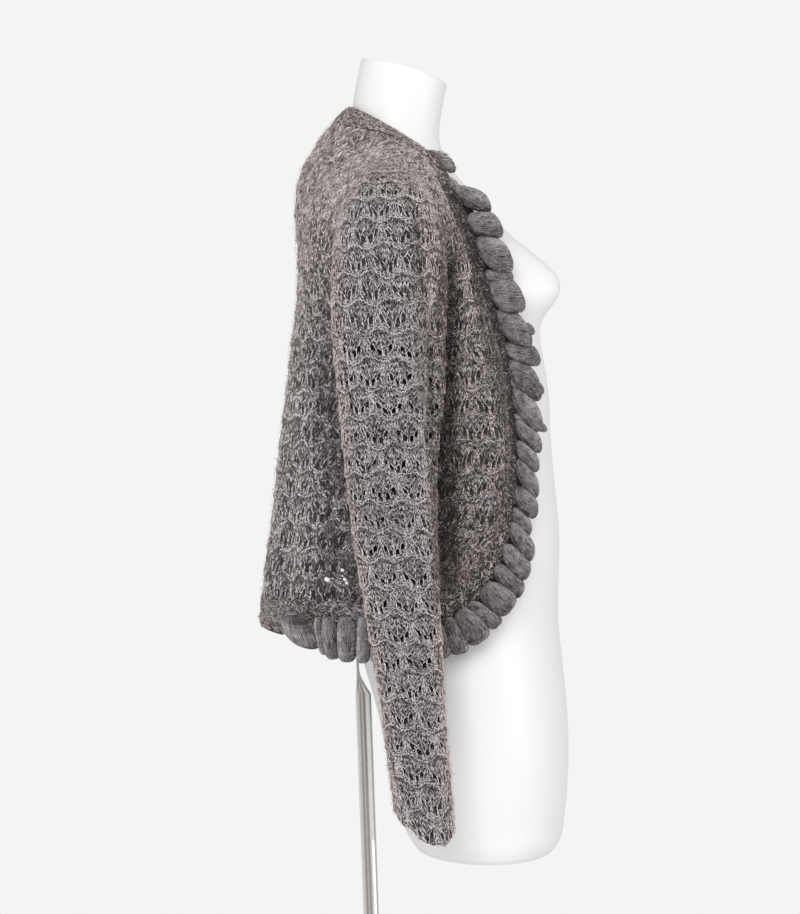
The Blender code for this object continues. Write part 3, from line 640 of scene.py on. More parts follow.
class Patch:
    """A curved piece of cloth that is read by distances up and across it."""

    STEPS = 128

    def __init__(self, lines: Sequence[Array], outward: Sequence[Array], middle: Sequence[int] | int) -> None:
        """Measures the cloth.

        Args:
            lines: Rows of points, from the lower edge to the upper one, each from end to end.
            outward: A rough outward direction for each point.
            middle: Number of the point in each row from which distances across are measured.
        """
        share = np.linspace(-1.0, 1.0, self.STEPS + 1)
        table, facing, self.left, self.right = [], [], [], []
        for line, out in zip(lines, outward):
            arc = np.concatenate([[0.0], np.cumsum(np.linalg.norm(np.diff(line, axis=0), axis=1))])
            arc = arc - arc[middle]
            self.left.append(arc[0])
            self.right.append(arc[-1])
            at = np.where(share < 0, -share * arc[0], share * arc[-1])
            table.append(np.stack([np.interp(at, arc, line[:, i]) for i in range(3)], axis=-1))
            facing.append(np.stack([np.interp(at, arc, out[:, i]) for i in range(3)], axis=-1))
        self.left, self.right = np.array(self.left), np.array(self.right)
        self.table, facing = np.array(table), unit(np.array(facing))
        centre = self.table[:, self.STEPS // 2]
        self.rise = np.concatenate([[0.0], np.cumsum(np.linalg.norm(np.diff(centre, axis=0), axis=1))])
        across = np.gradient(self.table, axis=1)
        up = np.gradient(self.table, axis=0)
        normal = np.cross(across, up)
        normal *= np.sign(np.sum(normal * facing, axis=-1, keepdims=True) + 1e-15)
        self.normal = unit(normal + 1e-7 * facing)

    @property
    def height(self) -> float:
        """Length of the cloth up its middle line."""
        return float(self.rise[-1])

    def area(self) -> float:
        """Area of the cloth without relief or openings."""
        p = self.table
        first = np.cross(p[1:, 1:] - p[:-1, :-1], p[1:, :-1] - p[:-1, 1:])
        return float(np.linalg.norm(first, axis=-1).sum() / 2)

    def ends(self, up: Array) -> tuple[Array, Array]:
        """Distances across at which the cloth ends, left and right, at distances up it."""
        return np.interp(up, self.rise, self.left), np.interp(up, self.rise, self.right)

    def at(self, up: Array, across: Array, lift: Array | float = 0.0) -> tuple[Array, Array]:
        """Points of the cloth.

        Args:
            up: Distances up from the lower edge.
            across: Distances across from the middle line; past an end, the end is taken.
            lift: Distances out from the cloth.

        Returns:
            Points and outward directions.
        """
        up = np.clip(up, 0.0, self.rise[-1])
        left, right = self.ends(up)
        share = np.where(across < 0, -across / np.minimum(left, -1e-6), across / np.maximum(right, 1e-6))
        column = (np.clip(share, -1.0, 1.0) + 1.0) * self.STEPS / 2
        row = np.interp(up, self.rise, np.arange(len(self.rise)))
        i = np.clip(row.astype(int), 0, len(self.rise) - 2)
        j = np.clip(column.astype(int), 0, self.STEPS - 1)
        fi, fj = (row - i)[..., None], (column - j)[..., None]
        found = []
        for values in (self.table, self.normal):
            low = values[i, j] * (1 - fj) + values[i, j + 1] * fj
            high = values[i + 1, j] * (1 - fj) + values[i + 1, j + 1] * fj
            found.append(low * (1 - fi) + high * fi)
        normal = unit(found[1])
        return found[0] + np.asarray(lift)[..., None] * normal, normal


class YarnShape(Enum):
    """The small shapes that the yarn is laid with."""

    CHIP = "yarn_chip"
    FIBRE = "yarn_fibre"


@dataclass
class Stitches:
    """Yarn legs that are laid on a piece of cloth."""

    start: list[Array] = field(default_factory=list)
    end: list[Array] = field(default_factory=list)
    out: list[Array] = field(default_factory=list)
    width: list[Array] = field(default_factory=list)
    tall: list[Array] = field(default_factory=list)
    tone: list[Array] = field(default_factory=list)
    warm: list[Array] = field(default_factory=list)

    def add(self, ends: tuple[Array, Array], out: Array, width: float, tall: float, tone: Array,
            warm: Array | float = 0.0) -> None:
        """Adds legs.

        Args:
            ends: Start and end points.
            out: Outward directions.
            width: Width of a leg.
            tall: Height of a leg.
            tone: Shade of each leg, 0 dark to 1 light.
            warm: How brown the legs are.
        """
        count = len(tone)
        self.start.append(ends[0])
        self.end.append(ends[1])
        self.out.append(out)
        self.width.append(np.full(count, width))
        self.tall.append(np.full(count, tall))
        self.tone.append(tone)
        self.warm.append(np.broadcast_to(warm, count))


class YarnLayer:
    """The small shapes of knit stitches and fuzz, and the node tree that lays them."""

    OVERLAP = 1.15
    LEG = ("leg_along", "leg_out", "leg_size")

    def __init__(self) -> None:
        """Makes the shapes and the tree once for all pieces."""
        self.shapes = {shape: self._shape(shape) for shape in YarnShape}
        self.tree = self._tree()

    @staticmethod
    def _shape(shape: YarnShape) -> Piece:
        """A pointed shape of unit length along Y, open underneath."""
        if shape is YarnShape.CHIP:
            points = [(0, -0.5, 0), (-0.5, 0, -0.1), (0, 0, 1.0), (0.5, 0, -0.1), (0, 0.5, 0)]
            faces = [(0, 2, 1), (0, 3, 2), (4, 1, 2), (4, 2, 3)]
        else:
            points = [(0, -0.5, 0), (-0.5, 0, 0.2), (0.5, 0, 0.2), (0, 0.5, 0)]
            faces = [(0, 2, 1), (1, 2, 3)]
        mesh = bpy.data.meshes.new(shape.value)
        mesh.from_pydata(points, [], faces)
        mesh.polygons.foreach_set("use_smooth", np.ones(len(faces), bool))
        return bpy.data.objects.new(shape.value, mesh)

    @staticmethod
    def _tree() -> bpy.types.NodeTree:
        """Geometry nodes that put a shape on each point, turned and scaled by its attributes."""
        tree = bpy.data.node_groups.new("lay_yarn", "GeometryNodeTree")
        for name, way, kind in (("Points", "INPUT", "Geometry"), ("Shape", "INPUT", "Object"),
                                ("Finish", "INPUT", "Material"), ("Yarn", "OUTPUT", "Geometry")):
            tree.interface.new_socket(name, in_out=way, socket_type=f"NodeSocket{kind}")
        nodes = NodeMaker(tree)
        given = nodes.add("NodeGroupInput").outputs
        legs = [nodes.add("GeometryNodeInputNamedAttribute", {"Name": name}, data_type="FLOAT_VECTOR")
                for name in YarnLayer.LEG]
        along, out, size = (leg.outputs["Attribute"] for leg in legs)
        turn = nodes.add("FunctionNodeAxesToRotation", {"Primary Axis": along, "Secondary Axis": out},
                         primary_axis="Y", secondary_axis="Z")
        shape = nodes.add("GeometryNodeObjectInfo", {"Object": given["Shape"]})
        lay = nodes.add("GeometryNodeInstanceOnPoints", {
            "Points": given["Points"], "Instance": shape.outputs["Geometry"],
            "Rotation": turn.outputs["Rotation"], "Scale": size})
        whole = nodes.add("GeometryNodeRealizeInstances", {"Geometry": lay.outputs["Instances"]})
        paint = nodes.add("GeometryNodeSetMaterial", {
            "Geometry": whole.outputs["Geometry"], "Material": given["Finish"]})
        nodes.add("NodeGroupOutput", {"Yarn": paint.outputs["Geometry"]})
        return tree

    def lay(self, name: str, stitches: Stitches, material: Material, shape: YarnShape) -> Piece:
        """Makes one plain mesh of all the legs of a piece.

        Args:
            name: Name of the new object.
            stitches: The legs.
            material: Their yarn.
            shape: The shape of each leg.

        Returns:
            The object, with tone and warm attributes on its corners.
        """
        start, end = np.concatenate(stitches.start), np.concatenate(stitches.end)
        span = end - start
        length = np.linalg.norm(span, axis=1) * self.OVERLAP
        size = np.stack([np.concatenate(stitches.width), length, np.concatenate(stitches.tall)], axis=-1)
        points = bpy.data.meshes.new(name)
        points.from_pydata(((start + end) / 2).tolist(), [], [])
        values = {"leg_along": unit(span), "leg_out": np.concatenate(stitches.out), "leg_size": size,
                  "tone": np.concatenate(stitches.tone), "warm": np.concatenate(stitches.warm)}
        for word, value in values.items():
            set_attribute(points, word, value)
        made = bpy.data.objects.new(name, points)
        bpy.context.scene.collection.objects.link(made)
        modifier = made.modifiers.new("yarn", "NODES")
        modifier.node_group = self.tree
        given = {"Shape": self.shapes[shape], "Finish": material}
        for item in self.tree.interface.items_tree:
            if item.in_out == "INPUT" and item.name in given:
                modifier[item.identifier] = given[item.name]
        shown = made.evaluated_get(bpy.context.evaluated_depsgraph_get())
        mesh = bpy.data.meshes.new_from_object(shown)
        made.modifiers.clear()
        made.data = mesh
        for extra in self.LEG:
            if extra in mesh.attributes:
                mesh.attributes.remove(mesh.attributes[extra])
        return made


@dataclass(frozen=True)
class LaceChart:
    """One repeat of the scallop lace: ribs above a bumpy scalloped ridge, with eyelets in a V.

    The lines are the places of the eight ribs in a repeat, from the ribs between two scallops. The
    wide cells between them hold the eyelets, and the last cell is the lowest place of a scallop.
    """

    repeat: float = 0.029
    pitch: float = 0.0255
    lines: tuple[float, ...] = (-0.462, -0.290, -0.116, -0.040, 0.040, 0.116, 0.290, 0.462)
    dip: float = 0.0056
    fan: float = 0.5
    relief: float = 0.0008
    wander: float = 0.0007
    sink: float = 0.0015
    edge_fade: float = 0.006
    jitter: float = 0.00055
    rows: tuple[float, ...] = (0.0, 0.10, 0.19, 0.28, 0.38, 0.47, 0.56, 0.78)
    ledge: tuple[float, ...] = (1.0, 0.9, 0.75, 0.6, 0.5, 0.4, 0.3, 0.1)
    low_eyelet: tuple[int, int] = (2, 4)
    high_eyelet: tuple[int, int] = (3, 5)
    low_cells: tuple[int, int] = (0, 6)
    high_cells: tuple[int, int] = (1, 5)
    fan_cells: tuple[int, ...] = (2, 3, 4)
    join_cells: tuple[int, ...] = (7,)
    thick: float = 1.0

    @property
    def columns(self) -> int:
        """Ribs in a repeat."""
        return len(self.lines)

    def cell(self, column: Array, row: Array) -> Array:
        """Place in the repeat, in ribs; rows are set half a repeat apart."""
        return (column - self.columns / 2 * (row % 2)) % self.columns

    def place(self, column: Array, row: Array, q: Array, pitch: float, drift: float) -> tuple[Array, Array]:
        """Where a point of the chart lies on the cloth.

        Args:
            column: Column of the chart, in ribs from the middle line.
            row: Lace row, counted from the lower edge.
            q: Height within the row, 0 to 1.
            pitch: Height of a row.
            drift: Sideways turn of the chart for each metre up.

        Returns:
            Distances up and across the cloth.
        """
        k = self.cell(column, row)
        even = (k - (self.columns - 1) / 2) / self.columns
        uneven = np.interp(k, np.arange(self.columns + 1), self.lines + (self.lines[0] + 1.0,)) - even
        open_part = ease(q, 0.0, 0.15) * (1.0 - ease(q, 0.62, 0.95))
        spread = np.clip(1.0 - 2.0 * (q - 0.15) / 0.45, -1.0, 1.0) * self.fan / 2
        sideways = open_part * (uneven + spread * np.sin(2 * np.pi * even) / (2 * np.pi))
        turn = 2 * np.pi * column / self.columns
        level = row + q
        up = pitch * level + self.dip / 2 * np.cos(2 * np.pi * even) * (1.0 - 2.0 * ease(q, 0.45, 1.0))
        up = up + self.wander * (np.sin(0.61 * turn + 1.9 * level) + np.sin(0.37 * turn - 2.7 * level + 1.0))
        stray = self.wander * (np.sin(0.43 * turn + 2.3 * level + 0.5) + np.sin(0.83 * turn - 1.1 * level))
        return up, self.repeat * (column / self.columns + sideways) + stray + drift * up


class LaceHeights(NamedTuple):
    """Heights above which a piece's eyelets are shut and painted dark as painted shade, above which it is
    plain and above which they are tall; it is plain again below a low height and, on a front, forward of a
    line."""

    shut: float
    plain: float
    low: float = 0.0
    front: bool = False
    ground: float = 0.30
    tall: float = 0.0


class PaintedShade(NamedTuple):
    """Painted shade and brownness of the yarn in places, and how much more uneven it is there."""

    shade: Array
    warm: Array
    uneven: float


class LacePanel:
    """A lace piece: its shell with eyelets, and its stitches.

    Eyelets are open above a height and only where the cloth faces away from the body; the shut ones are
    painted dark, painted shade for the shadow seen through an open one. Dropped stitches have a margin
    round them in the lace, filled by a finer shell up to a height, and legs stay clear.
    """

    PATCHY = 0.07
    OPEN_ABOVE = 0.885
    OPEN_FACING = -0.1
    HOLE_MARGIN = 0.0045
    HOLE_CLEAR = 0.0012
    MEND_HEIGHT = 0.06
    MEND_REACH = 0.010
    MEND_STEP = 0.0008

    def __init__(self, name: str, patch: Patch, chart: LaceChart, seed: int, drift: float,
                 heights: LaceHeights, painted_shade: Callable[[Array], PaintedShade]) -> None:
        """Keeps the cloth and its chart.

        Args:
            name: The piece's name.
            patch: Its surface.
            chart: Its lace.
            seed: Fixes the uneven stitches.
            drift: Sideways turn of the chart for each metre up.
            heights: Where the lace is open, shut and plain.
            painted_shade: Painted shade and brownness of the yarn at points of the cloth.
        """
        self.name, self.patch, self.chart, self.drift = name, patch, chart, drift
        self.heights, self.painted_shade = heights, painted_shade
        self.random = np.random.default_rng(seed)
        self.row_count = max(1, round(patch.height / chart.pitch))
        self.pitch = patch.height / self.row_count
        middles = self.pitch * (np.arange(self.row_count) + 0.5)
        self.tall = patch.at(middles, np.zeros(self.row_count))[0][:, 2] > heights.tall
        reach = max(-patch.left.min(), patch.right.max()) + abs(drift) * patch.height + chart.repeat
        self.half_columns = int(math.ceil(reach / chart.repeat)) * chart.columns
        blocks = 2 * self.half_columns // chart.columns + 2
        self.patchy = self.PATCHY * self.random.standard_normal((self.row_count, blocks))

    def _fade(self, up: Array, across: Array) -> Array:
        """0 at the cloth's side edges, 1 away from them."""
        left, right = self.patch.ends(up)
        return np.clip(np.minimum(across - left, right - across) / self.chart.edge_fade, 0.0, 1.0)

    def _lift(self, up: Array, across: Array, q: Array) -> Array:
        """Height of the relief above the middle of the cloth's wall."""
        ledge = np.interp(q, self.chart.rows + (1.0,), self.chart.ledge + (0.0,))
        return self.chart.relief * ledge * self._fade(up, across) - self.chart.sink

    def shell(self, material: Material) -> Piece:
        """The thin shell with its scalloped ridges and eyelets."""
        chart = self.chart
        column = np.arange(-self.half_columns, self.half_columns + 1)
        levels = [(row, k) for row in range(self.row_count) for k in range(len(chart.rows))]
        row = np.array([r for r, _ in levels] + [self.row_count - 1])
        q = np.array([chart.rows[k] for _, k in levels] + [1.0])
        grid_row, grid_column = np.meshgrid(row, column, indexing="ij")
        grid_q = np.broadcast_to(q[:, None], grid_row.shape)
        up, across = chart.place(grid_column, grid_row, grid_q, self.pitch, self.drift)
        points, normal = self.patch.at(up, across, self._lift(up, across, grid_q))
        left, right = self.patch.ends(np.clip(up, 0.0, self.patch.height))
        past = np.where(across <= left, -1, np.where(across >= right, 1, 0))
        corners = [past[:-1, :-1], past[:-1, 1:], past[1:, 1:], past[1:, :-1]]
        gone = np.all([c == -1 for c in corners], axis=0) | np.all([c == 1 for c in corners], axis=0)
        eyelet = self._eyelets(row[:-1], np.array([k for _, k in levels]), column[:-1])
        x, z = points[:-1, :-1, 0], points[:-1, :-1, 2]
        outer = np.sign(x) * normal[:-1, :-1, 0] > self.OPEN_FACING
        gone |= eyelet & (z < self.heights.shut) & (z > self.OPEN_ABOVE) & outer
        gone |= self._past_hole((points[:-1, :-1] + points[1:, 1:]) / 2) < self.HOLE_MARGIN
        plain = self._plain(points)
        # The ground is dark: dark yarn and painted shade between and under the stitches, lighter where the
        # lace is plain.
        tone = -0.05 + self.heights.ground * plain
        # Painted shade: every eyelet cell outside the plain lace is painted near black, so the shut ones read
        # as holes in shadow.
        dark = eyelet & (plain[:-1, :-1] < 0.5)
        for corner in (tone[:-1, :-1], tone[:-1, 1:], tone[1:, 1:], tone[1:, :-1]):
            corner[dark] = -0.5
        warm, faces = 0.4 * plain.ravel(), grid_faces(len(row), len(column), gone)
        points, normal, tone = points.reshape(-1, 3), normal.reshape(-1, 3), tone.ravel()
        if self.name == "back":
            more, out, fine = self._mended(len(points))
            points = np.concatenate([points, more.reshape(-1, 3)])
            normal = np.concatenate([normal, out.reshape(-1, 3)])
            tone = np.concatenate([tone, np.full(more.size // 3, -0.1)])
            warm = np.concatenate([warm, np.full(more.size // 3, 0.2)])
            faces = np.concatenate([faces, fine])
        shades = {"tone": tone, "warm": warm}
        return oriented_mesh(f"{self.name}_lace", points, faces, normal, material, shades)

    def _plain(self, point: Array) -> Array:
        """How plain the lace is at points, 0 to 1, past uneven lines."""
        y, z, past = point[..., 1], point[..., 2], self.heights
        z = z + 0.010 * np.sin(70.0 * point[..., 0]) + 0.006 * np.sin(190.0 * y + 1.0)
        top = ease(z, past.plain - 0.04, past.plain + 0.03)
        low = 1.0 - ease(z, past.low - 0.03, past.low + 0.03)
        beside = past.front * ease(np.interp(z, *PLAIN_LINE) - y, 0.0, 0.008)
        return np.maximum(np.maximum(top, low), beside)

    @staticmethod
    def _past_hole(points: Array) -> Array:
        """Distances of points from the rims of the nearest dropped stitch, negative inside."""
        at_y, at_z, apart, wider = LOOSE_SPREAD
        far = np.full(points.shape[:-1], 1.0)
        for y, z, reach in LOOSE_STITCHES:
            for side, near in ((-1.0, 1.0), (1.0, apart)):
                off_y = points[..., 1] - at_y - near * (y - at_y)
                off_z = points[..., 2] - at_z - near * (z - at_z)
                off = np.hypot(off_y, off_z) - reach * (wider if side > 0 else 1.0)
                far = np.minimum(far, off + (points[..., 0] * side < 0.06))
        return far

    def _mended(self, first: int) -> tuple[Array, Array, Array]:
        """Fine shell round the dropped stitches: points, normals, and faces numbered from the first."""
        left, right = self.patch.ends(np.array([0.02]))
        rise = np.arange(0.0, self.MEND_HEIGHT, self.MEND_STEP)
        up, across = np.meshgrid(rise, np.arange(left[0], right[0], self.MEND_STEP), indexing="ij")
        points, normal = self.patch.at(up, across, np.full(up.shape, -self.chart.sink))
        far = self._past_hole((points[:-1, :-1] + points[1:, 1:]) / 2)
        return points, normal, first + grid_faces(*up.shape, (far < 0.0) | (far > self.MEND_REACH))

    def _eyelets(self, row: Array, level: Array, column: Array) -> Array:
        """True for the grid cells that are eyelets."""
        chart = self.chart
        cell = chart.cell(column[None, :], row[:, None]).astype(int)
        more = self.tall[row].astype(int)
        low = (level >= chart.low_eyelet[0]) & (level < chart.low_eyelet[1] + more)
        high = (level >= chart.high_eyelet[0]) & (level < chart.high_eyelet[1] + more)
        low_open = np.isin(cell, chart.low_cells) & low[:, None]
        return low_open | (np.isin(cell, chart.high_cells) & high[:, None])

    def _legs(self, into: Stitches, cells: Sequence[int], start: Pair, end: Pair, size: Pair, tone: float,
              spread: float, stray: float = 1.0, foot: float | None = None) -> None:
        """Adds a leg in every chosen cell of every lace row.

        Args:
            into: Where the legs go.
            cells: The chosen cells of a repeat.
            start: Column from the cell's side, and height in the row, where the leg starts.
            end: The same for its end.
            size: Width and height of the leg.
            tone: Its shade.
            spread: How uneven the shades are.
            stray: How far the leg strays, as a share of the chart's own.
            foot: Height in the row from which the leg is stretched beside tall eyelets.
        """
        chart = self.chart
        columns = np.arange(-self.half_columns, self.half_columns)
        row, cell = np.meshgrid(np.arange(self.row_count), columns, indexing="ij")
        chosen = np.isin(chart.cell(cell, row).astype(int), cells)
        row, cell = row[chosen], cell[chosen]
        ends = []
        for column, level in (start, end):
            q = np.full(len(row), level)
            if foot is not None:
                q += 0.3 * (level - foot) * self.tall[row]
            up, across = chart.place(cell + column - 1e-6, row, q, self.pitch, self.drift)
            if not ends:
                plain = self._plain(self.patch.at(up, across)[0])
            loose = stray * chart.jitter * (1.0 + 1.6 * plain)
            up = up + loose * self.random.standard_normal(len(row))
            ends.append((up, across + loose * self.random.standard_normal(len(row)), q))
        middle_up, middle = (ends[0][0] + ends[1][0]) / 2, (ends[0][1] + ends[1][1]) / 2
        left, right = self.patch.ends(middle_up)
        inside = (middle > left + 0.0008) & (middle < right - 0.0008)
        inside &= (middle_up > 0.0005) & (middle_up < self.patch.height - 0.0005)
        point = self.patch.at(middle_up, middle)[0]
        inside &= self._past_hole(point) > self.HOLE_CLEAR
        found = [self.patch.at(u[inside], a[inside], self._lift(u, a, q)[inside]) for u, a, q in ends]
        block = (cell[inside] + self.half_columns) // chart.columns
        # Painted shade for this piece is added to each leg's tone here, with its brownness.
        painted_here = self.painted_shade(point[inside])
        shade = tone + (0.52 - tone) * plain[inside] + painted_here.shade + self.patchy[row[inside], block]
        shade = shade + spread * painted_here.uneven * self.random.standard_normal(int(inside.sum()))
        (a, a_out), (b, b_out) = found
        into.add((a, b), unit(a_out + b_out), chart.thick * size[0], size[1], shade, painted_here.warm)

    def stitches(self) -> Stitches:
        """The strands round the eyelets and in the fans, the fine stitches and the bumps of the ridges."""
        made, chart, slim, leg = Stitches(), self.chart, (0.0008, 0.0008), (0.0009, 0.0010)
        every = tuple(range(chart.columns))
        for side, near in ((0.0, 0.04), (1.0, 0.96)):
            for cells, low in ((chart.low_cells, 0.14), (chart.high_cells, 0.24)):
                self._legs(made, cells, (side, low), (near, low + 0.12), leg, 0.68, 0.30, 0.6, low)
                self._legs(made, cells, (near, low + 0.11), (near, low + 0.23), leg, 0.64, 0.30, 0.6, low)
                self._legs(made, cells, (near, low + 0.22), (0.5, low + 0.31), slim, 0.60, 0.34, 0.8, low)
                self._legs(made, cells, (0.5, low + 0.30), (side, low + 0.43), slim, 0.54, 0.36, 1.0, low)
            self._legs(made, chart.high_cells, (side, 0.16), (0.5, 0.29), slim, 0.52, 0.36)
            for cells, low, high in ((chart.fan_cells, 0.18, 0.60), (chart.join_cells, 0.13, 0.60)):
                third = (high - low) / 3
                self._legs(made, cells, (side, low), (0.30 + 0.4 * side, low + third), slim, 0.52, 0.38)
                self._legs(made, cells, (0.2 + 0.6 * side, low + third), (0.5, low + 2 * third), slim,
                           0.56, 0.38)
                self._legs(made, cells, (0.15 + 0.7 * side, low + 2 * third), (0.5, high), slim, 0.50, 0.38)
            # The fine rows are painted darker towards the ridge above them: painted shade under its overhang.
            for low in (0.60, 0.73, 0.86):
                self._legs(made, every, (0.5, low), (side, low + 0.13), slim, 0.52 - 0.5 * (low - 0.60), 0.36)
            self._legs(made, every, (side, -0.05), (0.5, 0.03), (0.0010, 0.0014), 0.74, 0.28, 0.6)
            self._legs(made, every, (side, 0.05), (0.5, 0.11), leg, 0.58, 0.36)
            self._legs(made, every, (side, 0.12), (0.5, 0.18), slim, 0.52, 0.38)
        return made


def oriented_mesh(name: str, points: Array, faces: Array, normal: Array, material: Material,
                  shades: dict[str, Array] | None = None) -> Piece:
    """A mesh of the used points of a grid, its faces turned outward.

    Args:
        name: The object's name.
        points: The grid of points.
        faces: Corner numbers in the flattened grid.
        normal: Outward directions of the grid's points.
        material: The object's finish.
        shades: Attributes of the grid's points.

    Returns:
        The new object.
    """
    used, faces = np.unique(faces, return_inverse=True)
    faces = faces.reshape(-1, 4)
    corner = points.reshape(-1, 3)[used]
    facing = np.cross(corner[faces[:, 2]] - corner[faces[:, 0]], corner[faces[:, 3]] - corner[faces[:, 1]])
    if np.sum(facing * normal.reshape(-1, 3)[used][faces[:, 0]]) < 0:
        faces = faces[:, ::-1]
    made = make_mesh(name, corner, faces, material)
    for word, values in (shades or {}).items():
        set_attribute(made.data, word, values.ravel()[used])
    return made


def fuzz(patch: Patch, count: int, seed: int, ridge: FuzzyRidge | None = None) -> Stitches:
    """Loose brown fibres that stand a little off a piece of cloth.

    Args:
        patch: The cloth.
        count: How many fibres lie all over it.
        seed: Fixes their places.
        ridge: A fuzzy fold on which more of them stand.

    Returns:
        The fibres.
    """
    random = np.random.default_rng(seed)
    up = patch.height * random.random(count)
    left, right = patch.ends(up)
    across = left + (right - left) * random.random(count)
    if ridge:
        share = (random.random(ridge.count) + random.random(ridge.count)) / 2
        up = np.concatenate([up, ridge.low[0] + (ridge.high[0] - ridge.low[0]) * share])
        line = ridge.low[1] + (ridge.high[1] - ridge.low[1]) * share
        if ridge.from_edge:
            line += patch.ends(up[count:])[1]
        across = np.concatenate([across, line + ridge.wide * random.standard_normal(ridge.count)])
        count += ridge.count
    point, normal = patch.at(up, across, 0.0004 + 0.0018 * random.random(count))
    way = random.standard_normal((count, 3))
    way = unit(way - 0.8 * np.sum(way * normal, axis=1, keepdims=True) * normal)
    length = (0.002 + 0.004 * random.random(count))[:, None]
    made = Stitches()
    made.add((point - way * length / 2, point + way * length / 2), normal, 0.00036, 0.0002,
             0.30 + 0.18 * random.standard_normal(count), 0.9)
    return made


@dataclass(frozen=True)
class YarnFinish:
    """Heathered wool yarn: dark and light fibres, warm fuzz at the edges."""

    name: str
    dark: Colour
    light: Colour
    sheen: float = 0.3
    strands: float = 0.0
    sheen_tint: Colour = (0.62, 0.50, 0.42)

    def material(self) -> Material:
        """Builds the finish."""
        made = bpy.data.materials.new(self.name)
        made.use_nodes = True
        nodes = NodeMaker(made.node_tree)
        tone, warm = (nodes.add("ShaderNodeAttribute", attribute_name=name).outputs["Fac"]
                      for name in ("tone", "warm"))
        heather = nodes.add("ShaderNodeGroup", {
            "Dark": (*self.dark, 1.0), "Light": (*self.light, 1.0), "Strands": self.strands,
            "Tone": tone, "Warm": warm}, node_tree=heather_group())
        bump = nodes.add("ShaderNodeBump", {
            "Strength": 0.5, "Distance": 0.0004, "Height": heather.outputs["Height"]})
        nodes.fill(made.node_tree.nodes["Principled BSDF"], {
            "Roughness": 0.92, "Specular IOR Level": 0.2, "Sheen Weight": self.sheen, "Sheen Roughness": 0.5,
            "Sheen Tint": (*self.sheen_tint, 1.0), "Base Color": heather.outputs["Color"],
            "Normal": bump.outputs["Normal"]})
        return made


def heather_group() -> bpy.types.NodeTree:
    """The shared node group for mixed light and dark fibres.

    Returns:
        A group with Dark, Light, Tone, Warm and Strands inputs, and Color and Height outputs.
    """
    found = bpy.data.node_groups.get("heather_fibres")
    if found:
        return found
    tree = bpy.data.node_groups.new("heather_fibres", "ShaderNodeTree")
    for name, way, kind in (("Dark", "INPUT", "Color"), ("Light", "INPUT", "Color"),
                            ("Tone", "INPUT", "Float"), ("Warm", "INPUT", "Float"),
                            ("Strands", "INPUT", "Float"),
                            ("Color", "OUTPUT", "Color"), ("Height", "OUTPUT", "Float")):
        tree.interface.new_socket(name, in_out=way, socket_type=f"NodeSocket{kind}")
    nodes = NodeMaker(tree)
    given = nodes.add("NodeGroupInput").outputs
    where = nodes.add("ShaderNodeTexCoord").outputs["Object"]
    noises = [nodes.add("ShaderNodeTexNoise", {"Vector": where, "Scale": scale, "Detail": 2.0})
              for scale in (900.0, 110.0)]
    fine, coarse = (noise.outputs["Fac"] for noise in noises)
    both = nodes.add("ShaderNodeMath", {0: fine, 1: coarse}, operation="ADD")
    spread = nodes.add("ShaderNodeMapRange", {
        "Value": both.outputs["Value"], "From Min": 0.6, "From Max": 1.4, "To Min": -0.35, "To Max": 0.35})
    tangle = nodes.add("ShaderNodeTexNoise", {
        "Vector": where, "Scale": 330.0, "Detail": 1.0, "Distortion": 0.6})
    off_line = nodes.add("ShaderNodeMath", {0: tangle.outputs["Fac"], 1: 0.5}, operation="SUBTRACT")
    away = nodes.add("ShaderNodeMath", {0: off_line.outputs["Value"]}, operation="ABSOLUTE")
    strand = nodes.add("ShaderNodeMapRange", {
        "Value": away.outputs["Value"], "From Max": 0.07, "To Min": 1.0, "To Max": 0.0})
    lines = nodes.add("ShaderNodeMath", {
        0: strand.outputs["Result"], 1: given["Strands"], 2: given["Tone"]}, operation="MULTIPLY_ADD")
    share = nodes.add("ShaderNodeMath", {
        0: lines.outputs["Value"], 1: spread.outputs["Result"]}, operation="ADD", use_clamp=True)
    ends = {}
    for name, end, way, tint in (("Dark", "A", "MIX", (0.066, 0.049, 0.042)),
                                 ("Light", "B", "MULTIPLY", (0.94, 0.85, 0.785))):
        brown = nodes.add("ShaderNodeMix", {"Factor": given["Warm"], "A": given[name], "B": (*tint, 1.0)},
                          data_type="RGBA", blend_type=way)
        ends[end] = brown.outputs["Result"]
    mix = nodes.add("ShaderNodeMix", {"Factor": share.outputs["Value"], **ends}, data_type="RGBA")
    nodes.add("NodeGroupOutput", {"Color": mix.outputs["Result"], "Height": fine})
    return tree


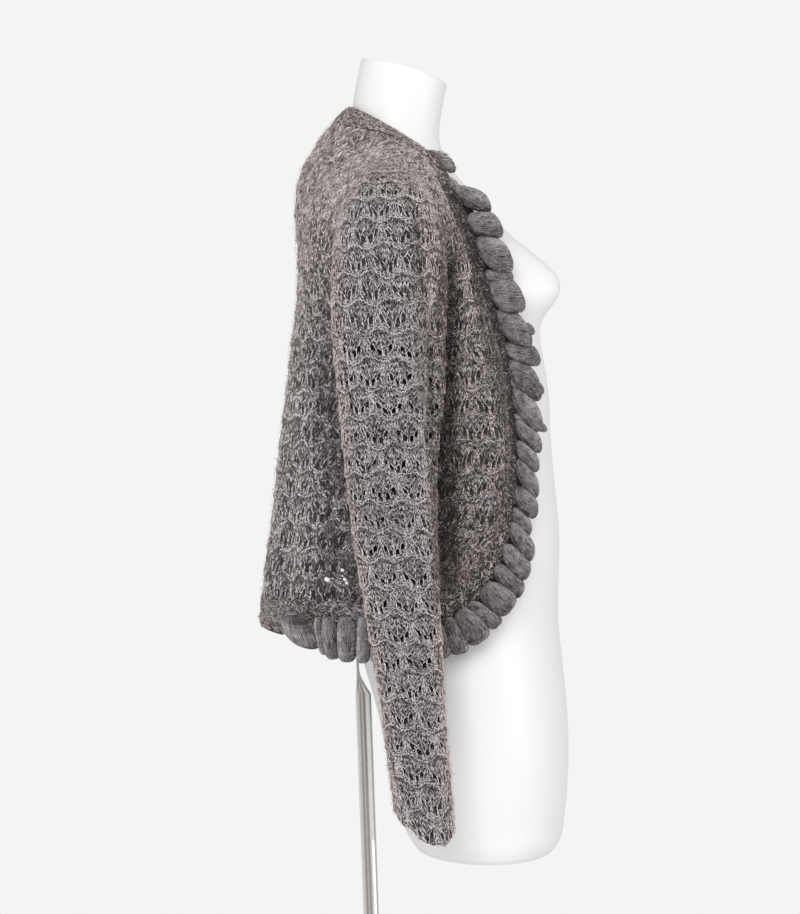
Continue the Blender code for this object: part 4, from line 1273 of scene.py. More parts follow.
@dataclass(frozen=True)
class Plain:
    """A plain smooth finish with faint unevenness; with painted reflections it has dark painted reflection
    stripes along its length.
    """

    name: str
    colour: Colour
    roughness: float
    metallic: float = 0.0
    grain: float = 40.0
    painted_reflections: bool = False
    reflection_colour: Colour = (0.16, 0.13, 0.115)

    def material(self) -> Material:
        """Builds the finish."""
        made = bpy.data.materials.new(self.name)
        made.use_nodes = True
        nodes = NodeMaker(made.node_tree)
        where = nodes.add("ShaderNodeTexCoord").outputs["Object"]
        noise = nodes.add("ShaderNodeTexNoise", {"Vector": where, "Scale": self.grain, "Detail": 3.0})
        uneven = noise.outputs["Fac"]
        tint = nodes.add("ShaderNodeMix", {
            "Factor": uneven, "A": (*(0.97 * c for c in self.colour), 1.0), "B": (*self.colour, 1.0)},
            data_type="RGBA")
        surface = tint.outputs["Result"]
        # Painted reflections: a dark colour is mixed in along stripes that stand for the reflected studio.
        if self.painted_reflections:
            reflected = nodes.add("ShaderNodeAttribute", attribute_name="stripe")
            lines = nodes.add("ShaderNodeMix", {
                "Factor": reflected.outputs["Fac"], "A": surface, "B": (*self.reflection_colour, 1.0)},
                data_type="RGBA")
            surface = lines.outputs["Result"]
        rough = nodes.add("ShaderNodeMapRange", {
            "Value": uneven, "To Min": self.roughness - 0.04, "To Max": self.roughness + 0.04})
        nodes.fill(made.node_tree.nodes["Principled BSDF"], {
            "Metallic": self.metallic, "Base Color": surface, "Roughness": rough.outputs["Result"]})
        return made


def dress(shell: Piece, extras: Sequence[Piece], nodes: Sequence[str]) -> None:
    """Fixes a shell and what lies on it to the body, and hides the model's parts that the shell stands for.
    """
    for piece in (shell, *extras):
        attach(piece, "root")
    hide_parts(*nodes)


def shade_shell(shell: Piece, tone: float, warm: float = 0.0) -> None:
    """Gives a shell one shade."""
    count = len(shell.data.vertices)
    set_attribute(shell.data, "tone", np.full(count, tone))
    set_attribute(shell.data, "warm", np.full(count, warm))


@dataclass
class Lace:
    """All the lace pieces: back, fronts and sleeves."""

    cut: BoleroCut
    yarn: YarnLayer
    chart: LaceChart = field(default_factory=LaceChart)
    light: YarnFinish = YarnFinish("lace_yarn", (0.040, 0.036, 0.041), (0.74, 0.705, 0.725))
    # The ground shell is the dark yarn between and under the stitches, painted darker still as painted shade
    # there.
    ground: YarnFinish = YarnFinish("lace_ground", (0.016, 0.0145, 0.016), (0.42, 0.39, 0.40), 0.1, 0.8)
    back_chart: LaceChart = LaceChart(
        repeat=0.040, lines=(-0.47, -0.265, -0.08, -0.03, 0.03, 0.08, 0.265, 0.47), wander=0.0012,
        jitter=0.0011, thick=1.3)
    front_chart: LaceChart = LaceChart(repeat=0.032, jitter=0.0004, thick=1.2)
    sleeve_drift: float = 0.12
    fuzz_density: float = 60000.0
    sleeve_ridge: FuzzyRidge = FuzzyRidge((0.270, -0.038), (0.560, -0.020), 0.0040, 800)
    front_ridge: FuzzyRidge = FuzzyRidge((0.040, -0.001), (0.430, -0.001), 0.0034, 900, True)
    heights: tuple[LaceHeights, ...] = (LaceHeights(0.0, 1.412), LaceHeights(0.0, 1.45, 1.10, True, 0.04),
                                        LaceHeights(1.30, 1.462, tall=1.29))

    def back_patch(self) -> Patch:
        """The back from the hem band to the neck and shoulders."""
        u = np.linspace(-1.0, 1.0, 161)
        lines = [self.cut.back_row(level, u) for level in np.linspace(0.0, 2.0, 121)]
        return Patch(lines, [self.cut.cloth_out(line) for line in lines], 80)

    def front_patch(self, side: Side) -> Patch:
        """A front from its band's lower corner to the shoulder."""
        a = np.linspace(0.0, 1.0, 81)
        lines = [self.cut.front_row(level, a) for level in np.linspace(0.0, 2.0, 121)]
        out = [self.cut.cloth_out(line) for line in lines]
        if side is Side.RIGHT:
            lines, out = [flip_x(line) for line in lines], [flip_x(o) for o in out]
        return Patch(lines, out, 40)

    def sleeve_patch(self, side: Side) -> Patch:
        """A sleeve from the cuff to the top of its head, in knitted rows."""
        cut = self.cut
        along = np.linspace(0.0, SLEEVE_SECTIONS[-1].along, 260)
        outer, _, outer_height = cut.sleeve_points(along, np.array([0.0]))
        run = np.concatenate([[0.0], np.cumsum(np.linalg.norm(np.diff(outer[:, 0], axis=0), axis=1))])
        rows = np.interp(np.linspace(run[-1], 0.0015, 150), run, outer_height[:, 0])
        seam_angles = np.linspace(0.0, 180.0, 181)
        seam = cut.sleeve_points(np.array([0.0]), seam_angles)[2][0]
        lines, facing = [], []
        for height in rows:
            end = 180.0 if height <= seam[-1] else float(np.interp(-height, -seam, seam_angles))
            angles = end * np.linspace(-1.0, 1.0, 121)
            points, out, level = cut.sleeve_points(along, angles)
            line, direction = np.empty((121, 3)), np.empty((121, 3))
            for k in range(121):
                place = np.interp(-height, -level[:, k], np.arange(len(along)))
                i = min(int(place), len(along) - 2)
                f = place - i
                line[k] = points[i, k] * (1 - f) + points[i + 1, k] * f
                direction[k] = out[i, k] * (1 - f) + out[i + 1, k] * f
            lines.append(line)
            facing.append(direction)
        if side is Side.RIGHT:
            lines, facing = [flip_x(line) for line in lines], [flip_x(o) for o in facing]
        return Patch(lines, facing, 60)

    @staticmethod
    def painted_shade(name: str) -> Callable[[Array], PaintedShade]:
        """Painted shade and brownness of a piece's yarn at points of it, with each piece's base shade painted
        lighter or darker by how the light falls on it.
        """
        def sleeve(point: Array) -> PaintedShade:
            """The sleeve carries painted shade: darker along its front strip, in a painted shadow line beside
            its fold, where it lies on the front and towards its front and back edges; it is lighter and
            browner towards the cuff, and its strip and edges are browner, as brown fuzz and painted sheen.
            """
            y, z = point[:, 1], point[:, 2]
            beside = ease(z, 1.00, 1.10) * (1.0 - ease(z, 1.39, 1.44))
            past = np.interp(z, *FOLD_SHADOW_LINE) - y
            strip, line = ease(past, 0.0, 0.010) * beside, np.exp(-(((past - 0.005) / 0.0042) ** 2)) * beside
            crease = ease(-y, 0.017, 0.027) * beside
            rings = SLEEVE_SECTIONS[::-1]
            middle, half = (np.interp(z, [r.inner_z for r in rings], [getattr(r, f) for r in rings])
                            for f in ("centre_y", "half_depth"))
            edge = ease(np.abs(y - middle) / half, 0.70, 0.92) * (1.0 - ease(z, 1.36, 1.44))
            low = 1.0 - ease(z, 1.00, 1.12)
            # Painted shade: the strip, the shadow line beside the fold, the crease against the front and the
            # edges are darker, over a base shade painted lighter by how the light falls on the sleeve.
            shade = 0.16 + 0.10 * low - 0.10 * strip - 0.60 * line - 0.55 * crease - 0.08 * edge
            # Brown of the strip and the edges: brown fuzz and painted sheen together.
            warm = 0.15 + 0.12 * low + 0.75 * np.maximum(strip, edge) + 0.4 * ease(z, 1.39, 1.455)
            return PaintedShade(shade, warm, 1.0)

        def front(point: Array) -> PaintedShade:
            """The fronts carry painted shade in the trough beside the sleeve; they are also darker towards
            the bottom, and darker and less brown forward of the plain line next to the band.
            """
            y, z = point[:, 1], point[:, 2]
            # Painted shade in the trough beside the sleeve, over a base shade painted by how the light falls
            # on the fronts.
            trough = np.exp(-(((y + 0.034) / 0.011) ** 2)) * (1.0 - ease(z, 1.38, 1.43))
            low = 1.0 - ease(z, 1.10, 1.22)
            beside = ease(np.interp(z, *PLAIN_LINE) - y, 0.0, 0.007) * ease(z, 1.16, 1.24)
            return PaintedShade(0.02 - 0.60 * trough - 0.24 * low - 0.48 * beside, 0.75 - 0.55 * beside, 1.1)

        def back(point: Array) -> PaintedShade:
            """The back is lighter and browner towards the neck, and carries a painted shadow by the sleeves.
            """
            y, z = point[:, 1], point[:, 2]
            # Painted shadow of the sleeves on the back beside them, over a base shade painted darker by how
            # the light falls on the back.
            top, by = ease(z, 1.30, 1.44), ease(0.106 - y, 0.0, 0.030) * (1.0 - ease(z, 1.33, 1.40))
            return PaintedShade(-0.09 + 0.14 * top - 0.34 * by, 0.25 + 0.35 * top, 1.2)

        return sleeve if "sleeve" in name else front if "front" in name else back

    def build(self) -> None:
        """Makes every lace piece with its stitches."""
        light, ground = self.light.material(), self.ground.material()
        pieces = [("back", self.back_patch(), ("back",), 0.0)]
        for side in Side:
            word = side.name.lower()
            pieces.append((f"{word}_front", self.front_patch(side), (f"{word}_front",), 0.0))
            nodes = (f"{word}_sleeve_outer", f"{word}_sleeve_inner")
            pieces.append((f"{word}_sleeve", self.sleeve_patch(side), nodes, self.sleeve_drift * -side.value))
        for number, (name, patch, nodes, drift) in enumerate(pieces):
            kind = 2 if "sleeve" in name else 1 if "front" in name else 0
            ridge = (None, self.front_ridge, self.sleeve_ridge)[kind]
            chart = (self.back_chart, self.front_chart, self.chart)[kind]
            panel = LacePanel(name, patch, chart, 11 + number, drift, self.heights[kind], self.painted_shade(name))
            shell = panel.shell(ground)
            loose = fuzz(patch, int(self.fuzz_density * patch.area()), 71 + number, ridge)
            extras = [self.yarn.lay(f"{name}_stitches", panel.stitches(), light, YarnShape.CHIP),
                      self.yarn.lay(f"{name}_fuzz", loose, light, YarnShape.FIBRE)]
            dress(shell, extras, nodes)
            round(patch.area(), 4)


class BandLook(NamedTuple):
    """A strip's shade, its unevenness, brownness, how far stitches stray, whether purl patches cross it,
    and how much lighter and browner it is at the lower corner."""

    tone: float
    uneven: float
    warm: float
    stray: float
    ridged: bool
    low_more: float = 0.0


@dataclass
class Bands:
    """The plain dense strips along the neck, the fronts and the hem."""

    cut: BoleroCut
    yarn: YarnLayer
    light: YarnFinish = YarnFinish("band_yarn", (0.036, 0.032, 0.035), (0.60, 0.56, 0.575), 0.2)
    # The band's ground shell is dark yarn under the stitches, painted darker still as painted shade between
    # them.
    ground: YarnFinish = YarnFinish("band_ground", (0.014, 0.0125, 0.014), (0.26, 0.24, 0.25), 0.1, 0.6)
    row: float = 0.0028
    column: float = 0.0023
    ridge_every: int = 6
    bulge: float = 0.0012
    sink: float = 0.0015
    under: float = 0.004
    shell_columns: int = 9
    fuzz_density: float = 60000.0

    def strip(self, start: float, end: float, flip: bool) -> Patch:
        """The strip between two lengths along the edge."""
        runs = np.linspace(start, end, max(12, int((end - start) / 0.005)))
        points, out, away, _ = self.cut.edge_at(runs)
        share = np.linspace(0.0, 1.0, 13)[None, :, None]
        lines = points[:, None] - share * (self.cut.band_width + self.under) * away[:, None]
        lines = lines + (4 * share * (1 - share) * self.bulge - self.sink) * out[:, None]
        facing = np.broadcast_to(out[:, None], lines.shape)
        if flip:
            lines, facing = flip_x(lines), flip_x(facing)
        return Patch(list(lines), list(facing), 6)

    def shell(self, name: str, patch: Patch, material: Material) -> Piece:
        """The thin shell of a strip."""
        rows = max(8, int(patch.height / self.row))
        rise, reach = np.linspace(0.0, patch.height, rows), np.linspace(-1.0, 1.0, self.shell_columns)
        up, across = np.meshgrid(rise, reach, indexing="ij")
        points, normal = patch.at(up, across * (self.cut.band_width + self.under) / 2)
        return oriented_mesh(f"{name}_knit", points, grid_faces(rows, self.shell_columns), normal, material)

    def stitches(self, patch: Patch, seed: int, look: BandLook) -> Stitches:
        """Knit legs along the strip, with an uneven purl patch every few rows where it is ridged."""
        made, random = Stitches(), np.random.default_rng(seed)
        whole = self.cut.band_width + self.under
        columns = max(2, round(whole / self.column))
        wide = whole / columns
        rows = max(2, round(patch.height / self.row))
        tall = patch.height / rows
        row, column = (v.ravel() for v in np.meshgrid(np.arange(rows), np.arange(columns), indexing="ij"))
        middle = (column + 0.5) * wide - whole / 2
        centre = np.abs(column - (columns - 1) / 2) < 0.36 * columns
        ridge = (row % self.ridge_every < 2) & centre & (random.random(len(row)) < 0.85) & look.ridged
        for side in (-0.5, 0.5):
            for chosen, rise in ((~ridge, 1.0), (ridge, 0.35)):
                count, level, centre_line = int(chosen.sum()), row[chosen], middle[chosen]
                here = patch.at(level * tall, centre_line)[0]
                low = look.low_more * (1.0 - ease(here[:, 2], 1.08, 1.20))
                low = low + 1.5 * look.low_more * ease(here[:, 2], 1.435, 1.475)
                shift = (look.stray + 0.002 * low) * random.standard_normal((4, count))
                a, _ = patch.at(level * tall + shift[0], centre_line + shift[1])
                b, out = patch.at((level + rise) * tall + shift[2], centre_line + side * wide + shift[3])
                base = low + (look.tone + 0.28 if rise < 1.0 else look.tone)
                made.add((a, b), out, 0.0010, 0.0014 if rise < 1.0 else 0.0010,
                         base + (look.uneven + 0.5 * low) * random.standard_normal(count), look.warm + low)
        return made

    def build(self) -> None:
        """Makes the four strips."""
        cut, gap = self.cut, self.cut.seam_gap
        light, ground = self.light.material(), self.ground.material()
        neck, side, whole = cut.neck_end, cut.side_end, 2 * cut.back_end
        front = BandLook(-0.18, 0.32, 0.15, 0.0005, True, 0.42)
        strips = [
            ("neck_band", -neck + gap, neck - gap, False, BandLook(0.54, 0.34, 0.55, 0.0010, False)),
            ("left_band", neck + gap, side - gap, False, front),
            ("right_band", neck + gap, side - gap, True, front),
            ("back_band", side + gap, whole - side - gap, False, BandLook(0.44, 0.40, 0.25, 0.0010, False)),
        ]
        for number, (name, start, end, flip, look) in enumerate(strips):
            patch = self.strip(start, end, flip)
            shell = self.shell(name, patch, ground)
            # The shell's shade is set darker than the stitches: dark yarn and painted shade between them.
            shade_shell(shell, 0.25 * look.tone - 0.12, 0.5 * look.warm)
            legs = self.stitches(patch, 31 + number, look)
            loose = fuzz(patch, int(self.fuzz_density * patch.area()), 81 + number)
            extras = [self.yarn.lay(f"{name}_stitches", legs, light, YarnShape.CHIP),
                      self.yarn.lay(f"{name}_fuzz", loose, light, YarnShape.FIBRE)]
            dress(shell, extras, (name,))
            LOG.info("%s: %d stitch faces, %.3f m long", name, len(extras[0].data.polygons), patch.height)


# Rolled pleats of a front ruffle from the collarbone to the side seam, in millimetres and degrees.
FRONT_LUMPS = [Lump(*row) for row in (
    (4.0, 36.0, 6.5, 8.0, 30.0), (38.0, 54.0, 4.0, 2.0, 30.0), (56.0, 83.0, 25.0, 11.0, 36.0),
    (84.0, 111.0, 24.0, 11.0, 10.0), (111.0, 144.0, 23.0, 13.0, 20.0), (143.0, 154.0, 22.0, 6.0, 10.0),
    (153.0, 183.0, 24.0, 12.0, 10.0), (184.0, 215.0, 22.0, 13.0, 26.0), (216.0, 234.0, 29.0, 9.0, 18.0),
    (233.5, 264.0, 26.0, 12.0, 34.0), (262.0, 292.0, 25.0, 13.0, 44.0), (292.0, 312.0, 25.0, 9.0, 38.0),
    (312.0, 331.0, 21.0, 9.0, 36.0), (331.0, 354.0, 23.0, 9.0, 42.0), (354.0, 376.0, 20.0, 10.0, 22.0),
    (376.0, 392.0, 19.0, 7.0, 30.0), (392.0, 412.5, 28.0, 9.0, 32.0), (412.5, 433.0, 28.0, 9.0, 18.0),
    (433.0, 451.0, 30.0, 7.0, 12.0), (451.0, 474.0, 28.0, 13.0, 2.0), (474.0, 487.0, 29.0, 8.0, -4.0),
    (487.0, 505.5, 30.0, 11.0, 6.0), (505.5, 517.6, 31.0, 8.0, 8.0), (517.6, 534.0, 31.0, 10.0, 6.0),
    (534.0, 550.0, 31.0, 10.0, 4.0), (550.0, 565.0, 30.0, 9.0, 2.0),
)]

# Small curls of the frill's far edge that show past the pleats, on each side.
CURLS = {
    Side.RIGHT: [Lump(196.0, 207.0, 31.0, 5.0, 14.0), Lump(250.0, 261.0, 32.0, 5.0, 14.0),
                 Lump(286.0, 294.0, 33.0, 5.0, 22.0)],
    Side.LEFT: [Lump(120.0, 131.0, 31.0, 5.0, 12.0), Lump(222.0, 233.0, 33.0, 5.0, 16.0),
                Lump(340.0, 350.0, 31.0, 5.0, 24.0)],
}

# Rolled pleats of half the back ruffle from the side seam; the low ones at the middle turn under.
BACK_LUMPS = [Lump(*row) for row in (
    (0.0, 16.0, 31.0, 10.0, 4.0), (16.0, 29.5, 31.0, 9.0, 3.0), (29.5, 48.0, 30.0, 11.0, 2.0),
    (48.0, 63.6, 28.0, 10.0, -2.0), (63.6, 72.0, 25.0, 7.0, -3.0), (69.5, 122.0, 15.5, 11.0, -4.0),
    (117.0, 141.0, 12.0, 6.0, 0.0), (140.0, 166.0, 10.0, 5.0, 0.0), (165.0, 190.0, 10.0, 5.0, 0.0),
    (189.0, 217.0, 10.0, 5.0, 0.0), (216.0, 243.0, 10.0, 5.0, 0.0),
)]
BACK_HALF = 241.8
MILLIMETRE = 0.001


class Frill(NamedTuple):
    """A frill: its ends along the edge, its pleats, the angle at which it stands out from the cloth in
    radians, whether it hems the back and turns under there, and whether it lies on the right."""

    name: str
    start: float
    end: float
    lumps: list[Lump]
    flare: float
    hem: bool
    flip: bool


class PleatLook(NamedTuple):
    """A pleat's yarn: its shade, how uneven that is, how much painted shade darkens its sides in the creases
    between pleats, how far its stitches stray, how brown they are and their width."""

    tone: float
    uneven: float
    crease_shade: float
    stray: float
    warm: float
    width: float


# Looks of the pleats by whether they are low and whether they are on the hem.
PLEAT_LOOKS = {
    (False, False): PleatLook(0.61, 0.20, 0.40, 0.0, 0.3, 0.00075),
    (False, True): PleatLook(0.70, 0.20, 0.40, 0.0, 0.0, 0.00075),
    (True, False): PleatLook(0.90, 0.30, 0.0, 0.0007, 0.4, 0.0011),
    (True, True): PleatLook(0.80, 0.30, 0.0, 0.0010, 0.7, 0.0011),
}


@dataclass
class Ruffles:
    """The gathered frill of rolled pleats along the fronts and the hem."""

    cut: BoleroCut
    yarn: YarnLayer
    light: YarnFinish = YarnFinish("ruffle_yarn", (0.042, 0.039, 0.045), (0.47, 0.445, 0.46), 0.2)
    # The pleats' ground shell is dark yarn under the stitches, painted darker still as painted shade in the
    # valleys between them.
    ground: YarnFinish = YarnFinish("ruffle_ground", (0.022, 0.020, 0.023), (0.30, 0.28, 0.29), 0.15)
    stitch_wide: float = 0.0022
    stitch_tall: float = 0.0029
    round_steps: int = 18
    long_steps: int = 13
    front_flare: float = 0.45
    back_flare: float = 0.03
    back_tuck: float = 62.0
    crowd: Pair = (1.12, 1.02)
    tilt: float = 0.32
    proud: float = 0.35
    seam_power: float = 2.8
    tip_power: float = 4.2
    overlap: float = 0.0050
    back_overlap: float = 0.0115
    slant_share: float = 0.90
    low_length: float = 15.0
    low_tuck: float = 45.0
    wide_from: float = 40.0
    wide_lap: float = 1.8
    wide_skew: float = 0.36
    roll_lap: float = 2.0
    curl_height: float = 5.0
    heading_trim: Pair = (0.006, 0.009)
    gather: float = 1.35
    upper_pleats: int = 9
    upper_warm: float = 0.05

    def is_low(self, lump: Lump) -> bool:
        """Whether a pleat is a low roll."""
        return lump.length < self.low_length

    def front_lumps(self, side: Side) -> list[Lump]:
        """The rolled pleats and curls of one front."""
        return list(FRONT_LUMPS) + CURLS[side]

    @staticmethod
    def back_lumps() -> list[Lump]:
        """The rolled pleats of the whole back, from the left side seam to the right one."""
        whole = 2 * BACK_HALF
        other = [Lump(whole - b.end, whole - b.start, b.length, b.height, -b.slant) for b in BACK_LUMPS]
        return list(BACK_LUMPS) + other

    def surface(self, frill: Frill) -> Surface:
        """The surface of a frill on the left side.

        Args:
            frill: The frill.

        Returns:
            A function of the pleat's number, the turn round it in radians (0 to pi over its outer
            face) and the place from seam to tip (0 to 1), which gives points.
        """
        _, start, end, lumps, flare, hem, _ = frill
        scale = (end - start) / (2 * BACK_HALF if hem else FRONT_LUMPS[-1].end)

        def point(number: int, turn: Array, w: Array) -> Array:
            """Points of one pleat."""
            lump = lumps[number]
            half = scale * (lump.end - lump.start) / 2 * self.crowd[hem]
            snug = 0.35 if hem and lump.end - lump.start < self.wide_from else 1.0
            long, tall = MILLIMETRE * lump.length, MILLIMETRE * lump.height
            slant = math.radians(self.slant_share * lump.slant)
            middle = start + scale * (lump.start + lump.end) / 2 - 0.45 * long * math.sin(slant)
            ends = 2 * w - 1
            power = np.where(ends < 0, self.seam_power, self.tip_power)
            girth = np.clip(1 - np.abs(ends) ** power, 0.0, 1.0) ** (1 / power)
            side, rise = np.cos(turn), np.sin(turn)
            across = -half * side * np.where(ends < 0, girth ** snug, girth)
            base, out, away, forward = self.cut.edge_at(middle + across)
            along = min(max((middle - start) / (end - start), 0.0), 1.0)
            bend, lap, skew = 0.0, self.overlap * (self.roll_lap if number == 0 else 1.0), 0.0
            if hem:
                under = self.back_tuck * math.sin(math.pi * along) ** 1.5 + self.low_tuck * self.is_low(lump)
                bend = math.radians(under)
                lap = self.back_overlap * (1.0 if snug < 1.0 else self.wide_lap)
                skew = self.wide_skew * math.copysign(snug == 1.0, lump.slant) * across / half
            lap = lap * math.cos(bend) ** 2
            reach = away * math.cos(bend) - out * math.sin(bend)
            lift = out * math.cos(bend) + away * math.sin(bend)
            stands = reach * math.cos(flare) + lift * math.sin(flare)
            thick = lift * math.cos(flare) - reach * math.sin(flare)
            distance = (w * (long * (1.0 + skew) + lap) - lap)[..., None]
            height = (tall * girth * rise * np.where(rise > 0, 1.0, 0.65) + self.proud * tall
                      + self.tilt * across * min(1.0, 0.016 / half))
            return (base + distance * (stands * math.cos(slant) + forward * math.sin(slant))
                    + height[..., None] * thick)

        return point

    def shell(self, frill: Frill, point: Surface, material: Material) -> Piece:
        """The pleats of a frill and the narrow heading that holds them.

        Args:
            frill: The frill.
            point: Its surface.
            material: Its finish.

        Returns:
            The new object.
        """
        turn = np.linspace(0.0, 2 * np.pi, self.round_steps, endpoint=False)
        w = 0.5 - 0.5 * np.cos(np.pi * np.linspace(0.0, 1.0, self.long_steps))
        grid_w, grid_turn = np.meshgrid(w, turn, indexing="ij")
        faces = grid_faces(self.long_steps, self.round_steps, around=True)
        points, corners = [], []
        for number in range(len(frill.lumps)):
            corners.append(faces + sum(len(p) for p in points))
            points.append(point(number, grid_turn, grid_w).reshape(-1, 3))
        runs = np.linspace(frill.start, frill.end, 160)
        base, out, away, _ = self.cut.edge_at(runs)
        rolls = [b for b in frill.lumps if b.height > self.curl_height]
        middles = [frill.start + MILLIMETRE * (b.start + b.end) / 2 for b in rolls]
        trim = self.heading_trim[frill.hem]
        reach = np.interp(runs, middles, [max(0.001, 0.0008 * b.length - trim) for b in rolls])
        steps = np.array([-0.0005, 0.5, 1.0])[:, None] * np.stack([np.ones_like(reach), reach, reach])
        strip = base + steps[..., None] * away - self.cut.knit_wall / 2 * out
        if frill.flip:
            strip = flip_x(strip)
        corners.append(grid_faces(len(steps), len(runs)) + sum(len(p) for p in points))
        points.append(strip.reshape(-1, 3))
        corner, faces = np.concatenate(points), np.concatenate(corners)
        first = corner[faces[0]]
        inside = points[0].mean(axis=0)
        facing = np.cross(first[2] - first[0], first[3] - first[1])
        if np.dot(facing, first.mean(axis=0) - inside) < 0:
            faces = faces[:, ::-1]
        made = make_mesh(f"{frill.name}_knit", corner, faces, material)
        low = [self.is_low(b) and not frill.hem for b in frill.lumps] + [False]
        roll = np.repeat(low, [len(p) for p in points])
        # The heading is painted near black, painted shade in the gaps between the pleats; the pleats' ground
        # is dark yarn and painted shade, lighter on the low rolls.
        tone = np.where(np.arange(len(corner)) < len(corner) - steps.size, 0.10 + 0.25 * roll, -0.4)
        set_attribute(made.data, "tone", tone)
        set_attribute(made.data, "warm", 0.5 * roll)
        return made

    def stitches(self, frill: Frill, point: Surface, seed: int) -> Stitches:
        """Smooth-knit legs round every pleat, their columns running from the seam to the tip."""
        made, random = Stitches(), np.random.default_rng(seed)
        hem = frill.hem
        for number, lump in enumerate(frill.lumps):
            girth = MILLIMETRE * math.pi * (0.5 * (lump.end - lump.start) + 0.9 * lump.height)
            columns = max(8, int(round(girth / self.stitch_wide)))
            rows = max(4, int(round(MILLIMETRE * lump.length * 1.35 / self.stitch_tall)))
            column, row = (v.ravel() for v in np.meshgrid(np.arange(columns), np.arange(rows), indexing="ij"))
            # Painted shadow of the sleeves: the back's long pleats by the side seams and the front's lower
            # pleats are darker.
            shaded = 0.5 * (lump.length > 24.0) if hem else float(ease(lump.start, 400.0, 450.0))
            low = self.is_low(lump)
            look = PLEAT_LOOKS[low, hem]
            upper = number < self.upper_pleats and not (low or hem)
            shade = 0.05 * random.standard_normal() - 0.12 * shaded
            for side in (0.0, 1.0):
                ends = []
                for across, up in ((0.35 + 0.3 * side, 0.0), (0.12 + 0.76 * side, 1.35)):
                    turn = 2 * np.pi * (column + across) / columns
                    w = 0.5 - 0.5 * np.cos(np.pi * np.clip((row + up) / rows, 0.015, 0.985))
                    ends.append((turn, w))
                a, b = (point(number, *e) for e in ends)
                turn, w = (ends[0][0] + ends[1][0]) / 2, np.clip((ends[0][1] + ends[1][1]) / 2, 0.02, 0.98)
                round_it = point(number, turn + 0.02, w) - point(number, turn - 0.02, w)
                along_it = point(number, turn, w + 0.01) - point(number, turn, w - 0.01)
                out = unit(np.cross(round_it, along_it))
                centre = point(number, turn, w) - point(number, turn + np.pi, w)
                out *= np.sign(np.sum(out * centre, axis=1, keepdims=True) + 1e-15)
                stray = look.stray * random.standard_normal((2, len(column), 3))
                tone = look.tone + shade + look.uneven * random.standard_normal(len(column))
                # Painted shade: each pleat's stitches darken towards its sides, in the creases between
                # pleats.
                tone -= look.crease_shade * np.abs(np.cos(turn)) ** 5
                made.add((a + stray[0], b + stray[1]), out, look.width, 0.0009, tone,
                         self.upper_warm if upper else look.warm)
        return made

    def build(self) -> None:
        """Makes the three frills."""
        cut = self.cut
        light, ground = self.light.material(), self.ground.material()
        gap = 2 * cut.seam_gap
        frills = [Frill(f"{side.name.lower()}_ruffle", cut.ruffle_start, cut.side_end - gap,
                        self.front_lumps(side), self.front_flare, False, side is Side.RIGHT) for side in Side]
        frills.append(Frill("back_ruffle", cut.side_end + gap, 2 * cut.back_end - cut.side_end - gap,
                            self.back_lumps(), self.back_flare, True, False))
        for number, frill in enumerate(frills):
            point = mirrored_read(self.surface(frill)) if frill.flip else self.surface(frill)
            shell = self.shell(frill, point, ground)
            legs = self.stitches(frill, point, 51 + number)
            extras = [self.yarn.lay(f"{frill.name}_stitches", legs, light, YarnShape.CHIP)]
            dress(shell, extras, (frill.name,))
            count = len(extras[0].data.polygons)
            LOG.info("%s: %d pleats, %d stitch faces", frill.name, len(frill.lumps), count)


def mirrored_read(point: Surface) -> Surface:
    """The same surface on the wearer's other side."""
    def other(number: int, turn: Array, w: Array) -> Array:
        """Points there."""
        return flip_x(point(number, turn, w))

    return other


@dataclass
class DressForm:
    """The smooth white torso that wears the bolero."""

    sides: int = 96
    rings: int = 160
    bust_reach: float = 0.038
    bust_x: float = 0.064
    bust_z: float = 1.356
    bust_spread: tuple[float, float, float] = (0.040, 0.042, 0.036)
    cap_rise: float = 0.0006
    cap_shares: tuple[float, ...] = (0.985, 0.9, 0.5, 0.02)
    satin: Plain = Plain("form_satin", (0.86, 0.857, 0.85), 0.42, 0.0, 30.0)

    def build(self) -> None:
        """Makes the torso with its closed ends."""
        heights = np.linspace(FORM_SECTIONS[0].height, FORM_SECTIONS[-1].height, self.rings)
        ring = {f: read(FORM_SECTIONS, "height", f, heights)[:, None] for f in FormSection._fields[1:]}
        angle = np.linspace(0.0, 2 * np.pi, self.sides, endpoint=False)[None, :]
        power = 2 / ring["roundness"]
        x = ring["half_width"] * np.sign(np.cos(angle)) * np.abs(np.cos(angle)) ** power
        half = (ring["back"] - ring["front"]) / 2
        y = half * np.sign(np.sin(angle)) * np.abs(np.sin(angle)) ** power
        spread_x, spread_up, spread_down = self.bust_spread
        level = heights[:, None] - self.bust_z
        spread = np.where(level > 0, spread_up, spread_down)
        bust = np.exp(-(((np.abs(x) - self.bust_x) / spread_x) ** 2) - (level / spread) ** 2)
        z = heights[:, None] + ring["lean"] * y
        y = np.where(y < 0, y - self.bust_reach * bust * np.minimum(1.0, -y / 0.05), y)
        points = np.stack([x, (ring["front"] + ring["back"]) / 2 + y, z], axis=-1)
        caps = []
        for end, rise in ((0, -self.cap_rise), (-1, self.cap_rise)):
            middle, lift = points[end].mean(axis=0), np.array([0, 0, rise])
            caps.append([middle + (points[end] - middle) * s + lift for s in self.cap_shares])
        rows = np.concatenate([np.array(caps[0])[::-1], points, np.array(caps[1])])
        faces = grid_faces(len(rows), self.sides, around=True)
        made = make_mesh("dress_form_shell", rows.reshape(-1, 3), faces, self.satin.material())
        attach(made, "root")
        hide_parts("dress_form")
        LOG.info("dress form: %d faces", len(faces))


